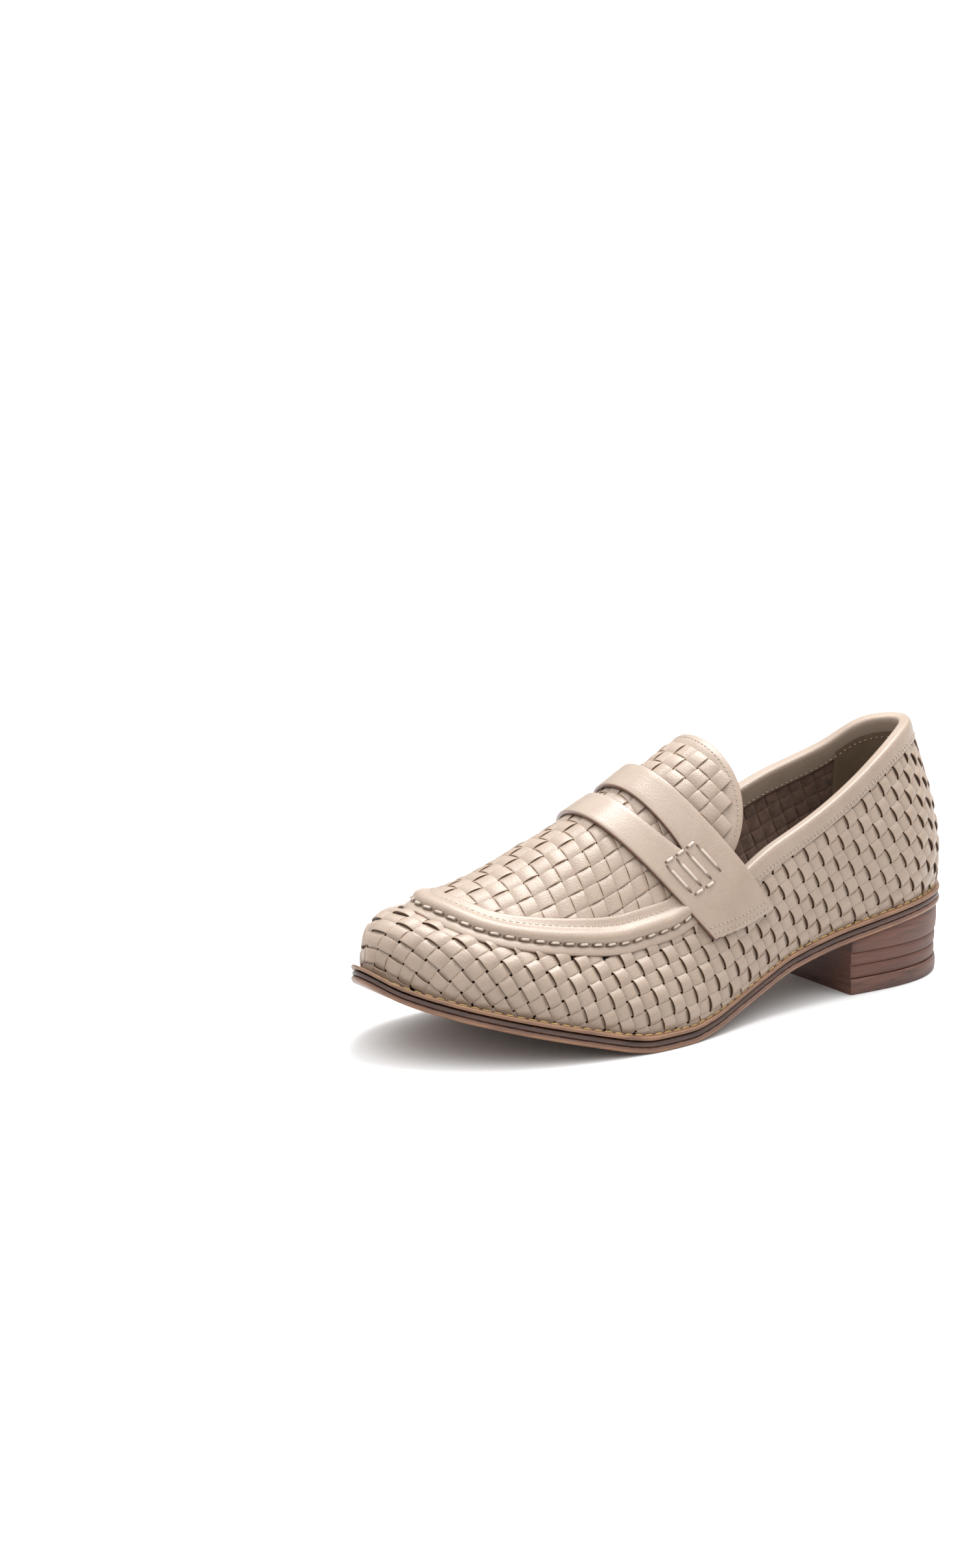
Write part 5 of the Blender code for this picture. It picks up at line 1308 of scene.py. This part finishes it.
def make_back_strip():
    """Smooth strip up the back seam, sweeping forward at the welt, with raw edges."""
    full = float(WALL_FULL[0])
    rises = np.concatenate([np.linspace(-0.0002, 0.026, 30), np.linspace(0.028, full - BINDING_DROP + 0.002, 20)])
    half = back_half(np.maximum(rises, 0.0))
    for _ in range(6):
        half[1:-1] = (half[:-2] + 2 * half[1:-1] + half[2:]) / 4
    shares = np.array([-1.0, -1.0, -0.985, -0.95, -0.8, -0.5, -0.2, 0.2, 0.5, 0.8, 0.95, 0.985, 1.0, 1.0])
    outs = np.array([0.0002, 0.0012, 0.0015, 0.0016, 0.0016, 0.0016, 0.0016, 0.0016, 0.0016, 0.0016, 0.0016, 0.0015,
                     0.0012, 0.0002])
    rim = np.array([1.0, 0.3, 0.06, 0, 0, 0, 0, 0, 0, 0, 0, 0.06, 0.3, 1.0])

    def place(flat, rise, out):
        s = np.mod(flat / PERIMETER, 1.0)
        tall = np.interp(s, TABLE_S, WALL_FULL)
        return wall_fast(s, tall - rise, out)

    points = place(half[:, None] * shares[None], rises[:, None] + 0.0 * shares[None], outs[None] + 0.0 * half[:, None])
    pile = Pile()
    pile.grid(points, np.tile(rim, len(rises)), flip=True)
    made = pile.make("back_seam_strip", [TRIM])
    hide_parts("back_strip")
    pile = Pile()
    for side in (-1, 1):
        for inset in (0.0016, 0.0027):
            flat = side * (half - inset)
            line = place(flat, rises, 0.0016)
            over = place(flat, rises, 0.0026)
            stitch_row(pile, line, over - line, 0.0021, 0.0014, 0.00017)
    seams = pile.make("back_strip_stitches", [THREAD])


# Strap and tongue

def strap_point(flat, out):
    """Point of the strap's surface, lifted out of it."""
    flat = np.asarray(flat, float).reshape(-1, 2)
    return STRAP.at(flat, np.broadcast_to(out, len(flat)))


def strap_outline(inset):
    """Outline of the strap, drawn in by an inset, with softly rounded corners."""
    wide = STRAP_VS[-1]
    share = np.linspace(-1.0, 1.0, 101)
    front, rear = STRAP_HALF_FRONT - inset, STRAP_HALF_REAR - inset
    side = np.linspace(0.0, 1.0, 31)[1:-1]
    ends = front + (rear - front) * side
    ragged = 0.00022 * np.sin(side * 57.0) + 0.00018 * np.sin(side * 131.0 + 1.0)
    width = wide - 2 * inset
    loop = np.concatenate([np.column_stack([share * front, np.full(101, inset)]),
                           np.column_stack([ends + ragged, inset + side * width]),
                           np.column_stack([share[::-1] * rear, np.full(101, wide - inset)]),
                           np.column_stack([-ends - ragged, inset + side * width])[::-1]])
    return loop


def slot_outline(inset, steps=90):
    """Lens of the strap's slot, pointed at its ends."""
    return ellipse_loop((0.0, 0.5 * STRAP_VS[-1]), (SLOT_HALF + inset, 0.5 * SLOT_WIDTH + inset), steps, 1.4)


def make_strap():
    """The saddle: a cut piece of leather with rounded, raw edges and its slot."""
    low = STRIP_RISE + STRAP_BED - 0.0004
    thick = STRAP_LEATHER + 0.0002
    loops = [strap_outline(0.0), slot_outline(0.0)]
    tops = [strap_outline(0.0007), slot_outline(0.0006)]
    plan, faces = triangulate(tops, grid_inside(tops, 0.0018, 0.0009))
    pile = Pile()
    pile.patch(strap_point(plan, low + thick), faces)
    plan, faces = triangulate(loops, grid_inside(loops, 0.004, 0.002))
    pile.patch(strap_point(plan, low), faces[:, ::-1], 1.0)
    for outer, upper in zip(loops, tops):
        middle = 0.7 * outer + 0.3 * upper
        rows = [strap_point(upper, low + thick), strap_point(middle, low + thick - 0.00012),
                strap_point(outer, low + thick - 0.00040), strap_point(outer, low + 0.5 * thick),
                strap_point(outer, low)]
        rim = np.repeat([0.0, 0.02, 0.30, 0.6, 1.0], len(outer))
        pile.grid(np.array(rows), rim, wrap=True, flip=True)
    made = pile.make("saddle_strap", [STRAP_LOOK])
    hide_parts("strap")
    return low + thick


def strap_line(points, count=60):
    """Path on the strap's face through plan corners, with its directions outwards."""
    points = np.asarray(points, float)
    run = np.concatenate([[0.0], np.cumsum(np.linalg.norm(np.diff(points, axis=0), axis=1))])
    at = np.linspace(0.0, run[-1], count)
    flat = np.column_stack([np.interp(at, run, points[:, k]) for k in range(2)])
    face = strap_point(flat, STRAP_FACE)
    return face, strap_point(flat, STRAP_FACE + 0.001) - face


def make_strap_stitches():
    """Double machine lines at both ends and the laced ladder beside each end."""
    wide = STRAP_VS[-1]
    pile = Pile()
    for side in (-1, 1):
        for inset in (0.0020, 0.0046):
            corners = [(side * (STRAP_HALF_FRONT - inset), 0.0012), (side * (STRAP_HALF_REAR - inset), wide - 0.0012)]
            stitch_row(pile, *strap_line(corners), 0.0019, 0.0012, 0.00017)
    seams = pile.make("strap_end_stitches", [THREAD])
    pile = Pile()
    for side in (-1, 1):
        for one, two, steps in ladder_lines():
            corners = [(side * one[0], one[1]), (side * two[0], two[1])]
            span = np.linalg.norm(np.subtract(two, one)) / steps
            stitch_row(pile, *strap_line(corners), span, span * 0.94, 0.00058, 0.0, 0.5)
    laces = pile.make("strap_ladder_laces", [THICK_THREAD])


# Corners of the ladder on the strap: u from the ridge and v from the strap's front edge
LADDER_NEAR = 0.0335
LADDER_FAR = 0.0490
LADDER_FRONT = 0.0060
LADDER_REAR = 0.0215


def ladder_lines():
    """The two rails with three laces each, and the four rungs of one lace each."""
    lines = []
    for u in (LADDER_NEAR, LADDER_FAR):
        lines.append(((u, LADDER_FRONT), (u, LADDER_REAR), 3))
    for k in range(4):
        v = LADDER_FRONT + (LADDER_REAR - LADDER_FRONT) * k / 3
        lines.append(((LADDER_NEAR, v), (LADDER_FAR, v), 1))
    return lines


TONGUE = tongue_drape()


def tongue_point(flat, out):
    """Point of the tongue's surface, lifted out of it, tucked under the plug in front."""
    flat = np.asarray(flat, float).reshape(-1, 2)
    free = np.clip(1.0 + flat[:, 1] / TONGUE_RISE, 0.0, 1.0)
    lift = free * free * (3 - 2 * free) * WALL
    return TONGUE.at(flat, lift - WALL - 3 * GAP + np.broadcast_to(out, len(flat)))


def tongue_outline(inset):
    """Rear arc of the tongue and its whole outline, drawn in by an inset."""
    arc = np.linspace(0.0, np.pi, 121)
    lean = TONGUE_SKEW * np.sin(arc)
    tip = np.column_stack([(TONGUE_HALF - inset) * np.sign(np.cos(arc)) * np.abs(np.cos(arc)) ** 0.6 - lean,
                           (TONGUE_LENGTH - inset) * np.sin(arc) ** 0.8])
    front = np.linspace(-TONGUE_HALF * 0.9, TONGUE_HALF * 0.9, 31)
    return tip, np.concatenate([tip, np.column_stack([front, np.full(31, -TONGUE_TUCK + inset)])])


def make_tongue():
    """The tongue: smooth border, woven middle and stitch line."""
    tip, loop = tongue_outline(0.0)
    _, inner_loop = tongue_outline(0.0005)
    plan, faces = triangulate([inner_loop], grid_inside([inner_loop], 0.003, 0.0014))
    pile = Pile()
    _, window = tongue_outline(TONGUE_BORDER)
    sunk = inside(plan, window)
    pile.patch(tongue_point(plan, np.where(sunk, -0.0004, 0.0005)), faces)
    pile.patch(tongue_point(plan, -TONGUE_LEATHER), faces[:, ::-1], look=1)
    rows = [tongue_point(inner_loop, 0.0005), tongue_point(loop, 0.0002), tongue_point(loop, -TONGUE_LEATHER + 0.0004),
            tongue_point(inner_loop, -TONGUE_LEATHER)]
    pile.grid(np.array(rows), np.repeat([0.0, 0.12, 0.6, 1.0], len(loop)), wrap=True, flip=True)
    made = pile.make("tongue_base", [TRIM, SUEDE_BACK])
    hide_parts("tongue")

    def weave(p, q, out):
        flat = np.stack([p * APRON_PITCH, 0.0015 + q * APRON_PITCH * 0.92], axis=-1)
        return tongue_point(flat.reshape(-1, 2), np.ravel(out) - 0.0001).reshape(*flat.shape[:-1], 3)

    def keep(middles):
        flat = np.column_stack([middles[:, 0] * APRON_PITCH, 0.0015 + middles[:, 1] * APRON_PITCH * 0.92])
        apart = np.linalg.norm(flat[:, None] - tip[None], axis=2).min(axis=1)
        return inside(flat, loop) & (apart > TONGUE_BORDER + 0.0006)

    cells = whole_cells(np.array([-8, -2]), np.array([8, 6]), keep)
    pile = Pile()
    strips(pile, cells, weave, APRON_LONG_SHARE, Rise(0.00042, 0.00044, 0.10, 1.4), True, 0)
    strips(pile, cells, weave, APRON_CROSS_SHARE, Rise(0.00058, 0.00048, 0.05, 1.2), False, 1)
    woven = pile.make("tongue_strips", [STRIPS])
    pile = Pile()
    line = tongue_outline(0.0022)[0][6:-6]
    stitch_row(pile, tongue_point(line, 0.0005), tongue_point(line, 0.0015) - tongue_point(line, 0.0005),
               0.0019, 0.0013, 0.00017)
    seams = pile.make("tongue_stitches", [THREAD])


# Sole and heel

FINE_RING = np.linspace(0.0, 1.0, 321)[:-1]


def layer(name, inset, low, high, look, bulge=0.0002, node=None, slot_name="sole_leather", loop_of=None):
    """Layer of the sole between two surfaces, with a softly rounded edge."""
    loop_of = loop_of or (lambda more: sole_edge(FINE_RING, inset + more))
    rounds = np.array([(0.0006, 0.0), (0.00018, 0.10), (-bulge * 0.5, 0.35), (-bulge * 0.5, 0.65), (0.00018, 0.90),
                       (0.0006, 1.0)])
    rings = []
    for more, share in rounds:
        loop = loop_of(more)
        z = low(loop[:, 1]) * (1 - share) + high(loop[:, 1]) * share
        rings.append(np.column_stack([loop, z]))
    inner_loop = rings[0][:, :2]
    plan, faces = triangulate([inner_loop], grid_inside([inner_loop], 0.0045, 0.0018))
    pile = Pile()
    pile.grid(np.array(rings), np.repeat(rounds[:, 1], len(inner_loop)), wrap=True)
    pile.patch(np.column_stack([plan, high(plan[:, 1])]), faces)
    pile.patch(np.column_stack([plan, low(plan[:, 1])]), faces[:, ::-1])
    made = pile.make(name, [look])
    made.data.set_sharp_from_angle(angle=0.9)
    if node:
        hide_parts(node)
    return made


def make_sole():
    """Outsole, midsole and insole layers, and the welt with its stitches."""
    layer("outsole_layer", 0.0, tread, outsole_top, OUTSOLE_LOOK, node="outsole", slot_name="sole_leather")
    layer("midsole_layer", MIDSOLE_STEP, lambda y: outsole_top(y) + 0.00005, midsole_top, MIDSOLE_LOOK, node="midsole",
          slot_name="midsole_leather")
    layer("insole_layer", welt_reach(FINE_RING) + WALL + OVERLAY_BED, lambda y: welt_top(y) + GAP,
          lambda y: welt_top(y) + GAP + INSOLE, COUNTER, node="insole", slot_name="lining_leather")
    reach = welt_reach(FINE_RING)
    pile = Pile()
    rows = []
    profile = [(0.00045, -WELT), (0.0, -WELT + 0.0002), (-0.0001, -WELT * 0.5), (0.00012, -0.0002), (0.0005, 0.0)]
    for inset, drop in profile:
        loop = sole_edge(FINE_RING, inset)
        rows.append(np.column_stack([loop, welt_top(loop[:, 1]) + drop]))
    for share, drop in ((0.55, 0.00002), (0.68, -0.00025), (0.80, -0.00002), (1.4, -0.0001)):
        loop = sole_edge(FINE_RING, reach * share)
        rows.append(np.column_stack([loop, welt_top(loop[:, 1]) + drop]))
    loop = sole_edge(FINE_RING, reach + WALL + WELT_LAP)
    for drop in (-0.0002, -WELT):
        rows.append(np.column_stack([loop, welt_top(loop[:, 1]) + drop]))
    pile.grid(np.array(rows + rows[:1]), wrap=True)
    welt = pile.make("welt_strip", [WELT_LOOK])
    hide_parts("welt")
    line = sole_edge(FINE_RING, reach * 0.68)
    path = np.column_stack([line, welt_top(line[:, 1]) - 0.0001])
    path = np.vstack([path, path[:1]])
    pile = Pile()
    stitch_row(pile, path, np.tile([0.0, 0.0, 1.0], (len(path), 1)), 0.0042, 0.0034, 0.00034)
    seams = pile.make("welt_stitches", [SOLE_STITCH])


def fine_heel_loop(inset):
    """Heel outline with a fine ring and slightly rounded breast corners."""
    breast = 0.5 * SOLE_LENGTH - HEEL_BREAST
    fine = np.linspace(0.0, 1.0, 1441)[:-1]
    edge = sole_edge(fine, inset)
    outer = edge[(fine < 0.5) & (edge[:, 1] > breast + 0.0006)]
    inner = edge[(fine > 0.5) & (edge[:, 1] > breast + 0.0006)]
    outer, inner = outer[::3], inner[::3]
    left, right = inner[0], outer[-1]
    across = np.linspace(right[0] - 0.0006, left[0] + 0.0006, 12)
    return np.concatenate([inner, outer, np.column_stack([across, np.full(12, breast)])])


def make_heel():
    """Lifts of the heel, the lowest one darker, and the wedge that meets the sole."""
    sizes = [("top_lift", 0.0, TOP_LIFT, TOP_LIFT_LOOK)]
    base = TOP_LIFT + GAP
    for name in ("heel_lift_1", "heel_lift_2"):
        sizes.append((name, base - GAP + 0.00004, base + HEEL_LIFT, HEEL_LOOK))
        base += HEEL_LIFT + GAP
    for name, low, high, look in sizes:
        inset = HEEL_STEPS[name]
        layer(name + "_layer", inset, flat_at(low), flat_at(high), look, 0.0001, name, "heel_leather",
              lambda more, inset=inset: fine_heel_loop(inset + more))
    inset = HEEL_STEPS["heel_wedge"]
    layer("heel_wedge_layer", inset, flat_at(base - GAP + 0.00004), lambda y: tread(y) - 0.00005, HEEL_LOOK, 0.0001,
          "heel_wedge", "heel_leather", lambda more: fine_heel_loop(inset + more))


def flat_at(height):
    """Level surface at a height."""
    return lambda y: np.full(len(y), height)


# Stage

FLOOR_HALF = 20.0
FLOOR_GREY = (0.64, 0.64, 0.64, 1.0)
# Light of the sky, by the height of its direction: grey at the sides and bright overhead
SKY = (("From Min", 0.20), ("From Max", 0.95), ("To Min", 0.58), ("To Max", 3.0))
# Name, place, size and power of each lamp; all of them point at AIM_LAMPS
LAMPS = (("key", (-0.15, 0.30, 1.2), 0.7, 18.0), ("front", (0.9, -1.1, 0.9), 1.2, 1.0))
AIM_LAMPS = Vector((0.0, 0.0, 0.04))


def make_stage():
    """White floor, sky and lamps of the photo's studio."""
    mesh = bpy.data.meshes.new("floor")
    corners = [(x * FLOOR_HALF, y * FLOOR_HALF, 0.0) for x, y in ((-1, -1), (1, -1), (1, 1), (-1, 1))]
    mesh.from_pydata(corners, [], [(0, 1, 2, 3)])
    floor = bpy.data.objects.new("floor", mesh)
    bpy.context.scene.collection.objects.link(floor)
    look, _, base, _ = shader("floor", 0.75, 0.2)
    base.inputs["Base Color"].default_value = FLOOR_GREY
    mesh.materials.append(look)
    world = bpy.data.worlds.new("studio")
    bpy.context.scene.world = world
    world.use_nodes = True
    tree = world.node_tree
    where = tree.nodes.new("ShaderNodeTexCoord").outputs["Generated"]
    split = tree.nodes.new("ShaderNodeSeparateXYZ")
    tree.links.new(where, split.inputs["Vector"])
    bright = tree.nodes.new("ShaderNodeMapRange")
    for key, value in SKY:
        bright.inputs[key].default_value = value
    tree.links.new(split.outputs["Z"], bright.inputs["Value"])
    tree.links.new(bright.outputs["Result"], tree.nodes["Background"].inputs["Strength"])
    tree.nodes["Background"].inputs["Color"].default_value = (1.0, 1.0, 1.0, 1.0)
    for name, place, size, power in LAMPS:
        lamp = bpy.data.lights.new(name, "AREA")
        lamp.size = size
        lamp.energy = power
        thing = bpy.data.objects.new(name, lamp)
        thing.location = place
        thing.rotation_euler = (AIM_LAMPS - Vector(place)).to_track_quat("-Z", "Y").to_euler()
        bpy.context.scene.collection.objects.link(thing)


# Camera of the photograph, solved from the shoe's corners in it: turn from the front, height,
# distance, focal length in the photo's pixels, point it looks at and shift of the frame
CAMERA_TURN = math.radians(56.5)
CAMERA_RISE = math.radians(13.0)
CAMERA_REACH = 1.5
FOCAL_PIXELS = 6270.0
PHOTO_HEIGHT = 2420.0
AIM = Vector((-0.00365, -0.00375, 0.040))
SLIDE_RIGHT = -0.0589
SLIDE_UP = 0.0437


def make_camera():
    """The photo's own view."""
    back = Vector((math.sin(CAMERA_TURN) * math.cos(CAMERA_RISE), -math.cos(CAMERA_TURN) * math.cos(CAMERA_RISE),
                   math.sin(CAMERA_RISE)))
    right = Vector((math.cos(CAMERA_TURN), math.sin(CAMERA_TURN), 0.0))
    up = back.cross(right)
    data = bpy.data.cameras.new("camera")
    camera = bpy.data.objects.new("camera", data)
    bpy.context.scene.collection.objects.link(camera)
    place = Matrix((right, up, back)).transposed().to_4x4()
    place.translation = AIM + right * SLIDE_RIGHT + up * SLIDE_UP + back * CAMERA_REACH
    camera.matrix_world = place
    data.sensor_fit = "VERTICAL"
    data.sensor_height = 36.0
    data.lens = FOCAL_PIXELS * data.sensor_height / PHOTO_HEIGHT
    data.clip_end = 80.0
    bpy.context.scene.camera = camera


bpy.context.scene.view_settings.view_transform = "Standard"
make_camera()
make_stage()
make_wall_weave()
make_apron_weave()
make_under_wall()
make_inner_weave()
make_counter()
make_border()
make_binding()
make_back_strip()
STRAP_FACE = make_strap()
make_strap_stitches()
make_tongue()
make_sole()
make_heel()
